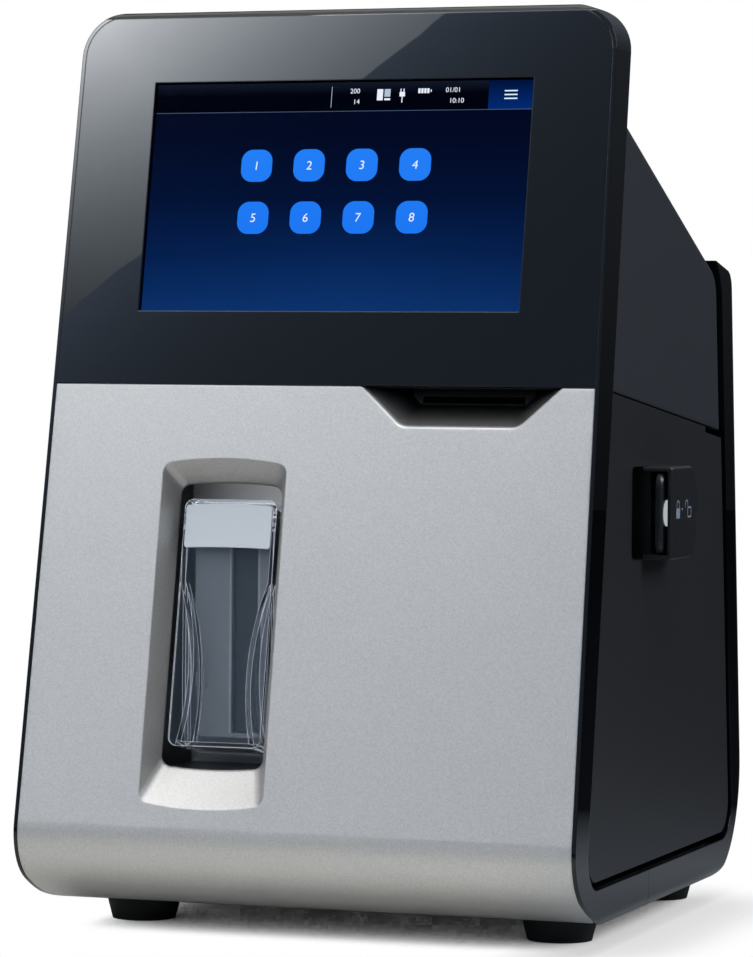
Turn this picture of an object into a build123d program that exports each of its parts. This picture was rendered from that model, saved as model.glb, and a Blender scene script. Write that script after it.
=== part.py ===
"""Bench-top blood gas analyzer: leaning touch display over a painted cover with a swing-out sampler,
a cartridge bay behind a side door, a slip printer behind the display and a ring-shaped rear frame.

Millimetres, +X to the right as seen from the front, +Y to the rear, +Z up. The shapes are laid out with
X = 0 on the middle plane and Z = 0 on the bench, and moved to the middle of the overall box at the end.
"""
import math
import os

from build123d import *

# ------------------------------------------------------------------ driving dimensions: the whole unit
HEIGHT = 357.3           # bench to the top of the display head
HALF_WIDTH = 112.6       # middle plane to the side, at bench level
SIDE_TAPER = 0.6         # degrees that each side leans in
LEAN = 10.48             # degrees that the front leans back
FRONT_FOOT_Y = -129.1    # where the front plane would meet the bench
REAR_LEAN = 4.0          # degrees that the rear leans forward
REAR_FOOT_Y = 128.85     # where the rear plane would meet the bench
UNDERSIDE = 9.5          # bench to the underside, the height of the feet
HEAD_RADIUS = 17.5       # top corners of the display head, seen from the front
KEEL_RADIUS = 5.0        # long lower edges
CHIN_Z = 28.3            # height where the chin starts to turn under
CHIN_ANGLE = 28.6        # degrees of the chin ramp
CHIN_RADIUS = 22.0
CHIN_BLEND = 85.0
HEEL_RADIUS = 45.0       # lower rear corner of the ring
RING_TOP_SLOPE = 10.2    # degrees that the ring's top falls to the rear
RING_TIP_Y = 69.7        # where the ring's top meets the back slope
RING_CORNER = 8.0

# shells
WALL = 3.0               # frames and covers
RIM = 1.6                # frame edge that shows round the front covers
BAND_FOOT_Y = -112.7     # where the rear edge of the front frame would meet the bench
BAND_LEAN = 11.17        # degrees that this edge leans back
BAND_HEIGHT = 15.0       # frame below the door and the side panel
BAND_RADIUS = 13.0
FRAME_SEAM_Y = -21.0     # front frame meets rear frame along the underside
CORE_FOOT_Y = 111.4      # where the rear edge of the door would meet the bench
CORE_LEAN = 4.6          # degrees that this edge leans forward
SIDE_INSET = 0.8         # door and side panel sit this much inside the frames
SEAM_GAP = 0.4           # fine joint between neighbouring shells
GROOVE = 3.0             # shadow groove round the door and the side panel
SILL_IN, SILL_T = 5.0, 2.0   # wall behind the lower groove
SILL_CLEAR = 0.5         # door's lower edge above that wall
SILL_END = 16.0          # the wall stops this far ahead of the door's rear edge
FRONT_COS = math.cos(math.radians(LEAN))     # height gained per length up the front
HUMP_Z = HEIGHT - 42.6   # top of the back slope, where it meets the display head
HUMP_SLOPE = 21.7        # degrees that the back slope falls
HUMP_RADIUS = 14.0
SHOULDER_RADIUS = 4.0    # edge between the back slope and the sides
DIAGONAL_Z = HEIGHT - 146.4  # housing-to-door joint at the front band
DIAGONAL_SLOPE = 5.7     # degrees that this joint falls to the rear

# front face, in the leaning plane: x to the right, v up the slope, d into the unit
SCREEN_DROP = 73.76      # top of the front down to the middle of the screen
SPLIT_DROP = 74.3        # middle of the screen down to the joint below it
COVER_END_Y = -78.0      # painted cover ends here under the chin
SCREEN_W = 153.6         # lit area of the display
SCREEN_H = 90.0
SCREEN_V = HEIGHT / FRONT_COS - SCREEN_DROP
SPLIT_V = SCREEN_V - SPLIT_DROP      # joint between display panel and painted cover
SCREEN_MARGIN = 0.4      # window edge outside the lit area
GLASS_T = 2.2
MODULE_MARGIN = 6.0
MODULE_T = 5.0

# sampler recess in the painted cover
RECESS_X = -36.4
RECESS_W = 50.4
RECESS_TOP_DROP = 30.9   # joint below the panel down to the recess
RECESS_V0, RECESS_V1 = 54.4, SPLIT_V - RECESS_TOP_DROP
MOUTH_X = RECESS_X - 0.2     # opening at the bottom of the chamfers
MOUTH_W = RECESS_W - 9.2
MOUTH_V0, MOUTH_V1 = RECESS_V0 + 14.9, RECESS_V1 - 7.0
RECESS_DEPTH = 10.0
RECESS_ARCH = 2.4
WELL_CLEAR = 0.3         # well lining outside the mouth
WELL_T = 2.0
WELL_BACK_Y = -70.0
WELL_Z0 = MOUTH_V0 * FRONT_COS - 3.15    # floor and ceiling of the well
WELL_Z1 = MOUTH_V1 * FRONT_COS + 0.15
WELL_RADIUS = 3.5

# sampler
HANDLE_X = MOUTH_X + 0.8
HANDLE_W = MOUTH_W - 3.6
HANDLE_V0, HANDLE_V1 = MOUTH_V0 + 7.3, MOUTH_V1 - 5.4
HANDLE_RADIUS = 3.5
HANDLE_D = 8.0           # handle face below the front plane
HANDLE_T = 1.8
HANDLE_BACK_Y = -80.0
GRIP_R = 110.0           # finger grips in the side walls, behind the handle's face
GRIP_DEEP = 6.0
GRIP_V = HANDLE_V0 + 27.4
GRIP_END_Y = -91.6
CAP_X, CAP_W, CAP_T = HANDLE_X - 0.4, HANDLE_W - 2.4, 0.4
CAP_L = 16.5
CAP_V1 = HANDLE_V1 - 2.5
CAP_V0 = CAP_V1 - CAP_L
CAP_ARCH = 0.8
PIVOT_Y = HANDLE_BACK_Y
PIVOT_Z = HANDLE_V1 * FRONT_COS - 9.13
PIVOT_PIN_R = 2.0
RUN_FIT = 0.05           # radial running clearance of every pin and shaft
HUB_R = 5.0
ARM_FACE_Y = -89.0
ARM_T = 7.0
ARM_X = HANDLE_X + 0.5
ARM_W = HANDLE_W - 7.4
ARM_Z0 = HANDLE_V0 * FRONT_COS + 0.68
CHANNEL_W, CHANNEL_DEPTH = 10.4, 2.0
CHANNEL_X = ARM_X + 5.2
NEEDLE_R = 0.8
NEEDLE_L = PIVOT_Z - ARM_Z0 - 16.0

# paper outlet notch in the painted cover
NOTCH_W = 79.9
NOTCH_X1 = HALF_WIDTH - 16.8
NOTCH_X0 = NOTCH_X1 - NOTCH_W
NOTCH_LOW_X0, NOTCH_LOW_X1 = NOTCH_X0 + 17.1, NOTCH_X1 - 16.3
NOTCH_DROP = 16.0
NOTCH_DEPTH = 12.0
NOTCH_RAMP = 11.4        # the ramp climbs this much towards the slot
SLOT_W, SLOT_H = 40.4, 2.6
SLOT_X = NOTCH_X1 - 37.8

# slip printer
PRINTER_W = 46.0         # between the side plates
PLATE_T = 2.0
DECK_Z = DIAGONAL_Z - 16.4   # deck that carries the printer
DECK_T = 1.5
PLATEN_Y, PLATEN_Z, PLATEN_R, PLATEN_W = -61.0, DECK_Z + 19.5, 6.0, 39.0
SHAFT_R = 2.0
HEAD_GAP = 0.4
ROLL_Y, ROLL_Z, ROLL_R, ROLL_W, CORE_R = -14.0, DECK_Z + 37.5, 23.0, 38.0, 6.0

# floor, upright and what they carry
PAN_T = 1.5
DECK_CUT = 25.0          # half width of the deck's cut-out for the sampler well
UPRIGHT_X = 20.6 - HALF_WIDTH
BOARD_Z0, BOARD_Z1 = 44.0, DECK_Z - 18.5
STANDOFF_L, STANDOFF_IN = 5.0, 6.0
BATTERY_W, BATTERY_H = 40.0, 42.0

# cartridge bay and door
TRAY_X0, TRAY_X1 = -10.0, HALF_WIDTH - 14.6
TRAY_Y0, TRAY_Y1 = -62.0, 80.0
TRAY_Z0, TRAY_Z1 = 31.0, DECK_Z - 5.5
TRAY_T = 2.0
CARTRIDGE_CLEAR = 1.5
CARTRIDGE_FACE_X = TRAY_X1 - 4.0
PULL_Y0, PULL_Y1 = -26.0, 34.0       # pocket with the cartridge's pull bar
PULL_H = 28.0
PULL_Z0 = TRAY_Z1 - 29.0 - PULL_H
DOOR_RIB = 7.0
RIB_T = 2.5
HINGE_IN = 7.0           # hinge axis below the door's outer face
HINGE_EDGE = 12.0        # hinge axis ahead of the door's rear edge
RIB_STOP = 26.0          # the stiffening rib ends this far ahead of the rear edge
DOOR_RELIEF = 2.3        # the door's top edge is this much lower beside the hinge
DOOR_RELIEF_L = 24.0
HINGE_HEIGHTS = (54.0, DIAGONAL_Z - 40.9)
KNUCKLE_R, KNUCKLE_L, EAR_L = 3.5, 16.0, 5.0
KNUCKLE_GAP = 0.4
HINGE_PIN_R = 1.5

# latch on the door
LATCH_Y0, LATCH_Y1 = -25.6, 12.0
LATCH_H = 36.1
LATCH_Z1 = DIAGONAL_Z - 29.4
LATCH_Z0 = LATCH_Z1 - LATCH_H
LATCH_PROUD = 11.7
LATCH_WALL = 1.9
LATCH_RADIUS = 10.0
LATCH_TRAVEL = 8.0
PADDLE_T = 2.6
PADDLE_LIFT = 5.7        # paddle above the door's face
PADDLE_NOSE = 2.9        # paddle stands this far out of the housing's mouth
PADDLE_L = 23.0
PADDLE_CLEAR = 0.2
PADDLE_RADIUS = 6.0
DOT_R, DOT_T = 5.1, 0.3
DOT_IN = 4.5             # mark's centre behind the mouth
SCOOP_RUN = 18.0         # the finger scoop falls to its floor over this length
SCOOP_FLOOR = 6.0
SCOOP_DEPTH = 6.0
STEM_IN = 15.0           # stem behind the housing's mouth
STEM_W, STEM_H = 6.0, 8.0

# peristaltic pump in the bay wall
PUMP_Y, PUMP_Z, PUMP_R = 40.0, 112.0, 17.0
PUMP_ROLLERS = 3
ROLLER_R = 4.0
MOTOR_SIZE, MOTOR_L = 42.0, 32.0

# rear cover, in its own leaning plane
REAR_LIP = 9.0
REAR_V0, REAR_V1 = 66.0, HEIGHT - 117.3
COVER_T = 2.5
FAN_SIZE, FAN_DEPTH, FAN_R = 60.0, 15.0, 27.0
FAN_X, FAN_V = -48.0, 152.0
FAN_BLADES = 6
VENT_ROWS = 9
PORT_V = 84.0
ROCKER_W, ROCKER_H = 13.0, 19.0
ROCKER_TILT = 7.0        # degrees each way from level
ROCKER_PIN_R, ROCKER_PIN_D = 1.0, 1.3
JACK_R = 5.5

# feet
FOOT_X, FOOT_FRONT_Y, FOOT_REAR_Y = HALF_WIDTH - 26.6, -52.0, 90.0
FOOT_TOP_R, FOOT_BOTTOM_R = 15.0, 12.5


def tan(angle):
    return math.tan(math.radians(angle))


# ------------------------------------------------------------------ lines of the side view
def front_y(z):
    """The leaning front plane."""
    return FRONT_FOOT_Y + z * tan(LEAN)


def seam_y(z):
    """Rear edge of the front frame's side band."""
    return BAND_FOOT_Y + z * tan(BAND_LEAN)


def rear_y(z):
    return REAR_FOOT_Y - z * tan(REAR_LEAN)


def core_rear_y(z):
    """Rear edge of the housing, the door and the side panel."""
    return CORE_FOOT_Y - z * tan(CORE_LEAN)


def half_width(z):
    return HALF_WIDTH - z * tan(SIDE_TAPER)


HUMP_Y = seam_y(HUMP_Z)


def hump_z(y):
    return HUMP_Z - (y - HUMP_Y) * tan(HUMP_SLOPE)


def ring_top_z(y):
    return hump_z(RING_TIP_Y) - (y - RING_TIP_Y) * tan(RING_TOP_SLOPE)


def diagonal_z(y):
    return DIAGONAL_Z - (y - seam_y(DIAGONAL_Z)) * tan(DIAGONAL_SLOPE)


def on_rear_line(z_of_y, line_y):
    """Where a line given as height over y meets the leaning line given as y over height."""
    y = line_y(HEIGHT / 2)
    for _ in range(30):
        y = line_y(z_of_y(y))
    return y, z_of_y(y)


# the leaning working planes
FRONT = Plane(
    origin=(0, FRONT_FOOT_Y, 0), x_dir=(1, 0, 0),
    z_dir=(0, -math.cos(math.radians(LEAN)), math.sin(math.radians(LEAN))),
).location
REAR = Plane(
    origin=(0, REAR_FOOT_Y, 0), x_dir=(-1, 0, 0),
    z_dir=(0, math.cos(math.radians(REAR_LEAN)), math.sin(math.radians(REAR_LEAN))),
).location
REACH = 2 * HEIGHT       # longer than anything in the unit, for cutting


# ------------------------------------------------------------------ small builders
def block(x0, x1, y0, y1, z0, z1):
    """Box between two corners."""
    return Pos((x0 + x1) / 2, (y0 + y1) / 2, (z0 + z1) / 2) * Box(abs(x1 - x0), abs(y1 - y0), abs(z1 - z0))


def slab(x0, x1, v0, v1, d0, d1):
    """Box in a leaning plane: d0 and d1 are depths below that plane."""
    return block(x0, x1, v0, v1, -d1, -d0)


def side_face(points):
    """Face in the side view from (y, z, corner radius) points."""
    outline = FilletPolyline(
        *[(y, z) for y, z, _ in points], radius=[r for _, _, r in points], close=True
    )
    return make_face(Plane.YZ * outline)


def across(face, x0=-REACH / 2, x1=REACH / 2):
    """Carry a side-view face across the unit."""
    return extrude(Pos(x0, 0, 0) * face, amount=x1 - x0, dir=(1, 0, 0))


def front_prism(inset):
    """The tapered front-view outline, drawn in by inset and carried front to back."""
    low, high = UNDERSIDE + inset, HEIGHT - inset
    low_x, high_x = half_width(low) - inset, half_width(high) - inset
    keel, head = max(KEEL_RADIUS - inset, 0.5), max(HEAD_RADIUS - inset, 1.0)
    outline = FilletPolyline(
        (-low_x, low), (-high_x, high), (high_x, high), (low_x, low),
        radius=[keel, head, head, keel], close=True,
    )
    return extrude(make_face(Plane.XZ * outline), amount=REACH / 2, both=True)


def rod(x0, x1, y, z, r):
    """Cylinder along X."""
    return Pos((x0 + x1) / 2, y, z) * Rot(0, 90, 0) * Cylinder(r, x1 - x0)


def body_face(inset=0.0):
    """Side view of the whole unit."""
    chin_y = front_y(CHIN_Z)
    toe_y = chin_y + (CHIN_Z - UNDERSIDE) / tan(CHIN_ANGLE)
    corner = on_rear_line(ring_top_z, rear_y)
    face = side_face([
        (front_y(HEIGHT), HEIGHT, WALL),
        (chin_y, CHIN_Z, CHIN_RADIUS),
        (toe_y, UNDERSIDE, CHIN_BLEND),
        (rear_y(UNDERSIDE), UNDERSIDE, HEEL_RADIUS),
        (*corner, RING_CORNER),
        (RING_TIP_Y, hump_z(RING_TIP_Y), 0),
        (HUMP_Y, HUMP_Z, 2 * WALL),
        (seam_y(HEIGHT), HEIGHT, WALL + 1),
    ])
    return offset(face, amount=-inset) if inset else face


def core_face(grow=0.0):
    """Side view of the housing, the door and the side panel: what the two frames go round."""
    low = UNDERSIDE + BAND_HEIGHT + GROOVE
    top = on_rear_line(hump_z, core_rear_y)
    front_gap = SEAM_GAP
    face = side_face([
        (HUMP_Y + front_gap, HUMP_Z, 0),
        (*top, HUMP_RADIUS),
        (core_rear_y(low), low, BAND_RADIUS),
        (seam_y(low) + front_gap, low, BAND_RADIUS),
    ])
    return offset(face, amount=grow) if grow else face


def above_diagonal(z_shift):
    """Half of the side view above the housing-to-door joint, moved by z_shift."""
    y0, y1 = -HEIGHT, HEIGHT
    return side_face([
        (y0, diagonal_z(y0) + z_shift, 0), (y1, diagonal_z(y1) + z_shift, 0),
        (y1, 2 * HEIGHT, 0), (y0, 2 * HEIGHT, 0),
    ])


BODY_HOLLOW = across(body_face(WALL)) & front_prism(WALL)


# ------------------------------------------------------------------ frames, covers and housing
def front_skin(inset_x):
    """The outer WALL of the front face and chin, within the front frame's rim."""
    zone_y = WALL / math.cos(math.radians(LEAN))
    zone = side_face([
        (-HEIGHT, 2 * HEIGHT, 0), (front_y(2 * HEIGHT) + zone_y, 2 * HEIGHT, 0),
        (front_y(2 * CHIN_Z) + zone_y, 2 * CHIN_Z, 0), (COVER_END_Y, 2 * CHIN_Z, 0),
        (COVER_END_Y, 0, 0), (-HEIGHT, 0, 0),
    ])
    return across((body_face() - body_face(WALL)) & zone) & front_prism(inset_x)


def front_frame():
    """Gloss ring round the front: side bands, head, chin and the front half of the floor."""
    band_top = UNDERSIDE + BAND_HEIGHT
    chin_y = front_y(CHIN_Z)
    toe_y = chin_y + (CHIN_Z - UNDERSIDE) / tan(CHIN_ANGLE)
    region = side_face([
        (front_y(HEIGHT), HEIGHT, WALL), (chin_y, CHIN_Z, CHIN_RADIUS), (toe_y, UNDERSIDE, CHIN_BLEND),
        (FRAME_SEAM_Y, UNDERSIDE, 0), (FRAME_SEAM_Y, band_top, 0),
        (seam_y(band_top), band_top, BAND_RADIUS), (seam_y(HEIGHT), HEIGHT, WALL + 1),
    ])
    frame = (across(region) & front_prism(0)) - BODY_HOLLOW - front_skin(RIM)
    rail_x = half_width(SPLIT_V) - WALL
    rail = slab(-rail_x, rail_x, SPLIT_V - 8, SPLIT_V + 8, WALL, 2 * WALL)
    rail -= slab(NOTCH_X0 - WALL, NOTCH_X1 + WALL, 0, SPLIT_V, 0, 3 * WALL)
    return frame + FRONT * rail + sills(seam_y(CHIN_Z) - 1, FRAME_SEAM_Y)


def sills(y0, y1):
    """Walls on the floor that close the view through the grooves below the door and the side panel."""
    low = UNDERSIDE + WALL / 2
    high = UNDERSIDE + BAND_HEIGHT + GROOVE + BAND_RADIUS
    face = side_face([(y0, low, 0), (y1, low, 0), (y1, high, 0), (y0, high, 0)])
    face = (face - core_face(SILL_CLEAR)) & body_face(WALL / 2)
    over_cover = side_face([
        (-HEIGHT, 0, 0), (COVER_END_Y + SEAM_GAP, 0, 0), (COVER_END_Y + SEAM_GAP, HEIGHT, 0), (-HEIGHT, HEIGHT, 0),
    ])
    face -= over_cover - body_face(WALL + SEAM_GAP)
    x = half_width(high) - SILL_IN
    return across(face, x - SILL_T, x) + across(face, -x, SILL_T - x)


def rear_frame():
    """Gloss ring round the rear, with a lip that holds the rear cover."""
    corner = on_rear_line(ring_top_z, rear_y)
    region = side_face([
        (FRAME_SEAM_Y + SEAM_GAP, UNDERSIDE, 0), (rear_y(UNDERSIDE), UNDERSIDE, HEEL_RADIUS),
        (*corner, RING_CORNER), (RING_TIP_Y, hump_z(RING_TIP_Y), 0),
        (RING_TIP_Y, DECK_Z, 0), (FRAME_SEAM_Y + SEAM_GAP, DECK_Z, 0),
    ]) - core_face(GROOVE)
    ring = (across(region) & front_prism(0)) - BODY_HOLLOW
    ring += sills(FRAME_SEAM_Y + SEAM_GAP, core_rear_y(UNDERSIDE) - SILL_END)
    opening_x = half_width(REAR_V1) - REAR_LIP
    return ring - REAR * slab(-opening_x, opening_x, REAR_V0, REAR_V1, -WALL, 2 * WALL)


def upper_housing():
    """Matte shell behind the display head, sloping down to the rear."""
    region = core_face() & above_diagonal(0)
    shell = across(region) & front_prism(SIDE_INSET)
    ridge = shell.edges().filter_by(
        lambda e: abs(e.center().X) > HALF_WIDTH / 2 and abs(e.center().Z - hump_z(e.center().Y)) < 1
        and e.length > 4 * HUMP_RADIUS
    )
    shell = fillet(ridge, SHOULDER_RADIUS)
    hollow = side_face([
        (-HEIGHT, hump_z(-HEIGHT) - WALL, 0), (core_rear_y(DECK_Z) - WALL, hump_z(core_rear_y(DECK_Z)) - WALL, 0),
        (core_rear_y(DECK_Z) - WALL, 0, 0), (-HEIGHT, 0, 0),
    ])
    return shell - (across(hollow) & front_prism(SIDE_INSET + WALL))


def side_skin(side):
    """Flat skin of one side below the diagonal joint; side is +1 for the right."""
    region = core_face() - above_diagonal(-2 * SEAM_GAP)
    skin = across(region, 0, side * REACH / 2) if side > 0 else across(region, -REACH / 2, 0)
    return (skin & front_prism(SIDE_INSET)) - front_prism(SIDE_INSET + WALL)


def rib_ring(side):
    """Stiffening rib inside a side skin, left off at the rear edge."""
    region = core_face() - above_diagonal(-2 * SEAM_GAP)
    ring = region - offset(region, amount=-RIB_T)
    ring -= side_face([
        (core_rear_y(0) - RIB_STOP, 0, 0), (HEIGHT, 0, 0), (HEIGHT, HEIGHT, 0),
        (core_rear_y(HEIGHT) - RIB_STOP, HEIGHT, 0),
    ])
    ribs = across(ring, 0, REACH / 2) if side > 0 else across(ring, -REACH / 2, 0)
    return (ribs & front_prism(SIDE_INSET + WALL)) - front_prism(SIDE_INSET + WALL + DOOR_RIB)


def left_side_panel():
    """Fixed panel with a vent grille low down at the rear."""
    slots = [
        block(-HALF_WIDTH - WALL, -HALF_WIDTH / 2, 40, 84, z, z + 3) for z in range(48, 96, 8)
    ]
    return side_skin(-1) + rib_ring(-1) - slots


def front_cover():
    """Painted cover: chamfered sampler recess on the left, paper outlet notch at the top right."""
    cover = front_skin(RIM)
    cover -= FRONT * slab(-REACH, REACH, SPLIT_V - SEAM_GAP / 2, REACH, -WALL, REACH)
    funnel = recess_loft(WALL) & slab(-REACH, REACH, 0, REACH, 0.2 * WALL, RECESS_DEPTH)
    chute = notch_loft(WALL) & slab(-REACH, REACH, 0, SPLIT_V - SEAM_GAP / 2, 0.2 * WALL, NOTCH_DEPTH)
    cover = cover + FRONT * funnel + FRONT * chute
    return cover - FRONT * recess_loft(0) - FRONT * notch_loft(0)


def arched_outline(x, width, v0, v1, arch, radius, depth):
    """Upright outline with bowed top and bottom, at a depth below the front plane."""
    x0, x1 = x - width / 2, x + width / 2
    edges = Curve() + [
        Line((x0, v0), (x0, v1)), ThreePointArc((x0, v1), (x, v1 + arch), (x1, v1)),
        Line((x1, v1), (x1, v0)), ThreePointArc((x1, v0), (x, v0 - arch), (x0, v0)),
    ]
    face = make_face(edges)
    return Pos(0, 0, -depth) * fillet(face.vertices(), radius)


def recess_loft(grow):
    """Chamfered walls of the sampler recess, from the painted face down to the mouth."""
    outer = arched_outline(
        RECESS_X, RECESS_W + 2 * grow, RECESS_V0 - grow, RECESS_V1 + grow, RECESS_ARCH, 4 + grow, 0
    )
    mouth = arched_outline(
        MOUTH_X, MOUTH_W + 2 * grow, MOUTH_V0 - grow, MOUTH_V1 + grow, RECESS_ARCH / 2, 4 + grow, RECESS_DEPTH
    )
    return loft([outer, mouth], ruled=True)


def notch_outline(low_x0, low_x1, low_v, spread, radius, depth):
    """Trapezoid of the paper outlet, open at the top."""
    top = SPLIT_V + WALL
    wide = spread * (top - low_v)
    outline = FilletPolyline(
        (low_x0 - wide, top), (low_x0, low_v), (low_x1, low_v), (low_x1 + wide, top),
        radius=[0, radius, radius, 0], close=True,
    )
    return Pos(0, 0, -depth) * make_face(outline)


def notch_loft(grow):
    """Paper outlet: a ramp that climbs from the painted face to the slot."""
    spread = (NOTCH_LOW_X0 - NOTCH_X0) / NOTCH_DROP
    low_v = SPLIT_V - NOTCH_DROP
    outer = notch_outline(NOTCH_LOW_X0, NOTCH_LOW_X1, low_v - grow, spread, 7 + grow, 0)
    inner = notch_outline(
        NOTCH_LOW_X0 + 4, NOTCH_LOW_X1 - 1, low_v + NOTCH_RAMP - grow, spread, 2.5 + grow, NOTCH_DEPTH
    )
    return loft([outer, inner], ruled=True)


def display_panel():
    """Gloss panel over the upper front, with the window of the touch screen."""
    panel = front_skin(RIM) - FRONT * slab(-REACH, REACH, -REACH, SPLIT_V + SEAM_GAP / 2, -WALL, REACH)
    x, v = SCREEN_W / 2 + SCREEN_MARGIN, SCREEN_H / 2 + SCREEN_MARGIN
    return panel - FRONT * slab(-x, x, SCREEN_V - v, SCREEN_V + v, -WALL, 2 * WALL)


def touch_glass():
    """Touch sensor glass, flush in the panel's window."""
    x, v = SCREEN_W / 2 + SCREEN_MARGIN, SCREEN_H / 2 + SCREEN_MARGIN
    return FRONT * slab(-x, x, SCREEN_V - v, SCREEN_V + v, 0, GLASS_T)


def lcd_module():
    """Display module: its lit face stands up into the window, its frame bears on the panel."""
    x, v = SCREEN_W / 2, SCREEN_H / 2
    m = MODULE_MARGIN
    back = slab(-x - m, x + m, SCREEN_V - v - m, SCREEN_V + v + m, WALL, WALL + MODULE_T)
    lit = slab(-x, x, SCREEN_V - v, SCREEN_V + v, GLASS_T, WALL + 1)
    return FRONT * (back + lit)


def display_board():
    """Driver board on the back of the display module, with its connectors."""
    d = WALL + MODULE_T
    board = slab(-60, 60, SCREEN_V - 38, SCREEN_V + 22, d, d + 1.6)
    for x in (-40, -10, 30):
        board += slab(x, x + 18, SCREEN_V - 30, SCREEN_V - 24, d + 1.6, d + 4.6)
    board += slab(-30, 0, SCREEN_V - 8, SCREEN_V + 12, d + 1.6, d + 3.2)
    return FRONT * board


def rear_cover():
    """Rear cover inside the ring's lip, with fan grille, vents and port cut-outs."""
    plate = slab(-HALF_WIDTH, HALF_WIDTH, REAR_V0 - 6, REAR_V1 + 5, WALL, WALL + COVER_T)
    cover = (REAR * plate) & front_prism(WALL + SEAM_GAP / 2)
    cuts = port_cuts()
    pitch = 6.0
    rows = int(FAN_R / pitch)
    for row in range(-rows, rows + 1):
        half = math.sqrt(max(FAN_R ** 2 - (row * pitch) ** 2, 0)) - 1
        v = FAN_V + row * pitch
        cuts.append(slab(-FAN_X - half, -FAN_X + half, v - 1.6, v + 1.6, 0, 3 * WALL))
    for row in range(VENT_ROWS):
        v = FAN_V + (row - VENT_ROWS // 2) * pitch
        cuts.append(slab(-80, -24, v - 1.4, v + 1.4, 0, 3 * WALL))
    return cover - [REAR * cut for cut in cuts]


# ------------------------------------------------------------------ feet, floor, deck
def feet():
    """Four tapered rubber feet; the rear pair rises with the curve of the ring's heel."""
    cone = Pos(0, 0, UNDERSIDE / 2) * Cone(FOOT_BOTTOM_R, FOOT_TOP_R, UNDERSIDE)
    collar = Pos(0, 0, UNDERSIDE + WALL) * Cylinder(FOOT_TOP_R, 2 * WALL)
    heel = Pos(0, FOOT_REAR_Y, 0) * (cone + collar) - across(body_face())
    front = [Pos(side * FOOT_X, FOOT_FRONT_Y, 0) * cone for side in (-1, 1)]
    return Compound(front + [Pos(side * FOOT_X, 0, 0) * heel for side in (-1, 1)])


def base_pan():
    """Folded steel floor that lies in the two frames."""
    z = UNDERSIDE + WALL
    x = half_width(z) - 3 * WALL
    y0, y1 = FRAME_SEAM_Y - 40, rear_y(z) - HEEL_RADIUS - 3 * WALL
    pan = block(-x, x, y0, y1, z, z + PAN_T)
    pan += block(-x, x, y1 - PAN_T, y1, z, z + 12)
    return pan + block(-x, x, y0, y0 + PAN_T, z, z + 8)


def upper_deck():
    """Steel deck over the bay that carries the printer."""
    deck = block(UPRIGHT_X - 4, TRAY_X1 - 4, -66, TRAY_Y1 - 2, DECK_Z, DECK_Z + DECK_T)
    return deck - block(MOUTH_X - DECK_CUT, MOUTH_X + DECK_CUT, -REACH, WELL_BACK_Y + 14, 0, HEIGHT)


def left_upright():
    """Steel upright between floor and deck that carries the main board."""
    z0 = UNDERSIDE + WALL + PAN_T
    plate = block(UPRIGHT_X - DECK_T, UPRIGHT_X, -45, TRAY_Y1 - 8, z0, DECK_Z)
    for y in (-40, 60):
        for z in (BOARD_Z0 + STANDOFF_IN, BOARD_Z1 - STANDOFF_IN):
            plate += block(UPRIGHT_X - DECK_T - STANDOFF_L, UPRIGHT_X, y - 3, y + 3, z - 3, z + 3)
    return plate


def main_board():
    """Controller board on the upright's standoffs."""
    x1 = UPRIGHT_X - DECK_T - STANDOFF_L
    z0, z1 = BOARD_Z0, BOARD_Z1
    board = block(x1 - 1.6, x1, -46, 66, z0, z1)
    board += block(x1 - 6, x1 - 1.6, -10, 20, z0 + 46, z0 + 76)
    board += block(x1 - 5, x1 - 1.6, 30, 60, z0 + 16, z0 + 26) + block(x1 - 5, x1 - 1.6, -36, -20, z1 - 26, z1 - 8)
    return board


def battery_pack():
    """Battery and power unit on the floor."""
    z0 = UNDERSIDE + WALL + PAN_T
    pack = block(UPRIGHT_X + 8, UPRIGHT_X + 8 + BATTERY_W, -8, 70, z0, z0 + BATTERY_H)
    return fillet(pack.edges().filter_by(Axis.Z), 4)


# ------------------------------------------------------------------ sampler
def sampler_well():
    """Upright lining behind the recess, open to the front."""
    w = MOUTH_W / 2 + WELL_CLEAR
    t = WELL_T
    outer = block(MOUTH_X - w - t, MOUTH_X + w + t, -HEIGHT, WELL_BACK_Y, WELL_Z0 - t, WELL_Z1 + t)
    inner = block(MOUTH_X - w, MOUTH_X + w, -REACH, WELL_BACK_Y - t, WELL_Z0, WELL_Z1)
    inner = fillet(inner.faces().sort_by(Axis.Y)[-1].edges(), WELL_RADIUS)
    well = (outer - inner) & (FRONT * slab(-REACH, REACH, -REACH, REACH, RECESS_DEPTH, REACH))
    port = Pos(CHANNEL_X, WELL_BACK_Y, (WELL_Z0 + WELL_Z1) / 2) * Rot(90, 0, 0) * Cylinder(5, 4 * t)
    return well - rod(-REACH, REACH, PIVOT_Y, PIVOT_Z, PIVOT_PIN_R) - port


def sampler_pin():
    """Pivot pin across the well."""
    w = MOUTH_W / 2 + WELL_CLEAR + WELL_T
    return rod(MOUTH_X - w, MOUTH_X + w, PIVOT_Y, PIVOT_Z, PIVOT_PIN_R)


def handle_solid(inset):
    """Outer form of the sampler handle: leaning rounded face, upright back."""
    deep = REACH / 8
    outline = RectangleRounded(
        HANDLE_W - 2 * inset, HANDLE_V1 - HANDLE_V0 - 2 * inset, HANDLE_RADIUS - 0.8 * inset
    )
    prism = extrude(outline, amount=deep, both=True)
    place = Pos(HANDLE_X, (HANDLE_V0 + HANDLE_V1) / 2, -HANDLE_D - inset - deep)
    return FRONT * place * prism


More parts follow.
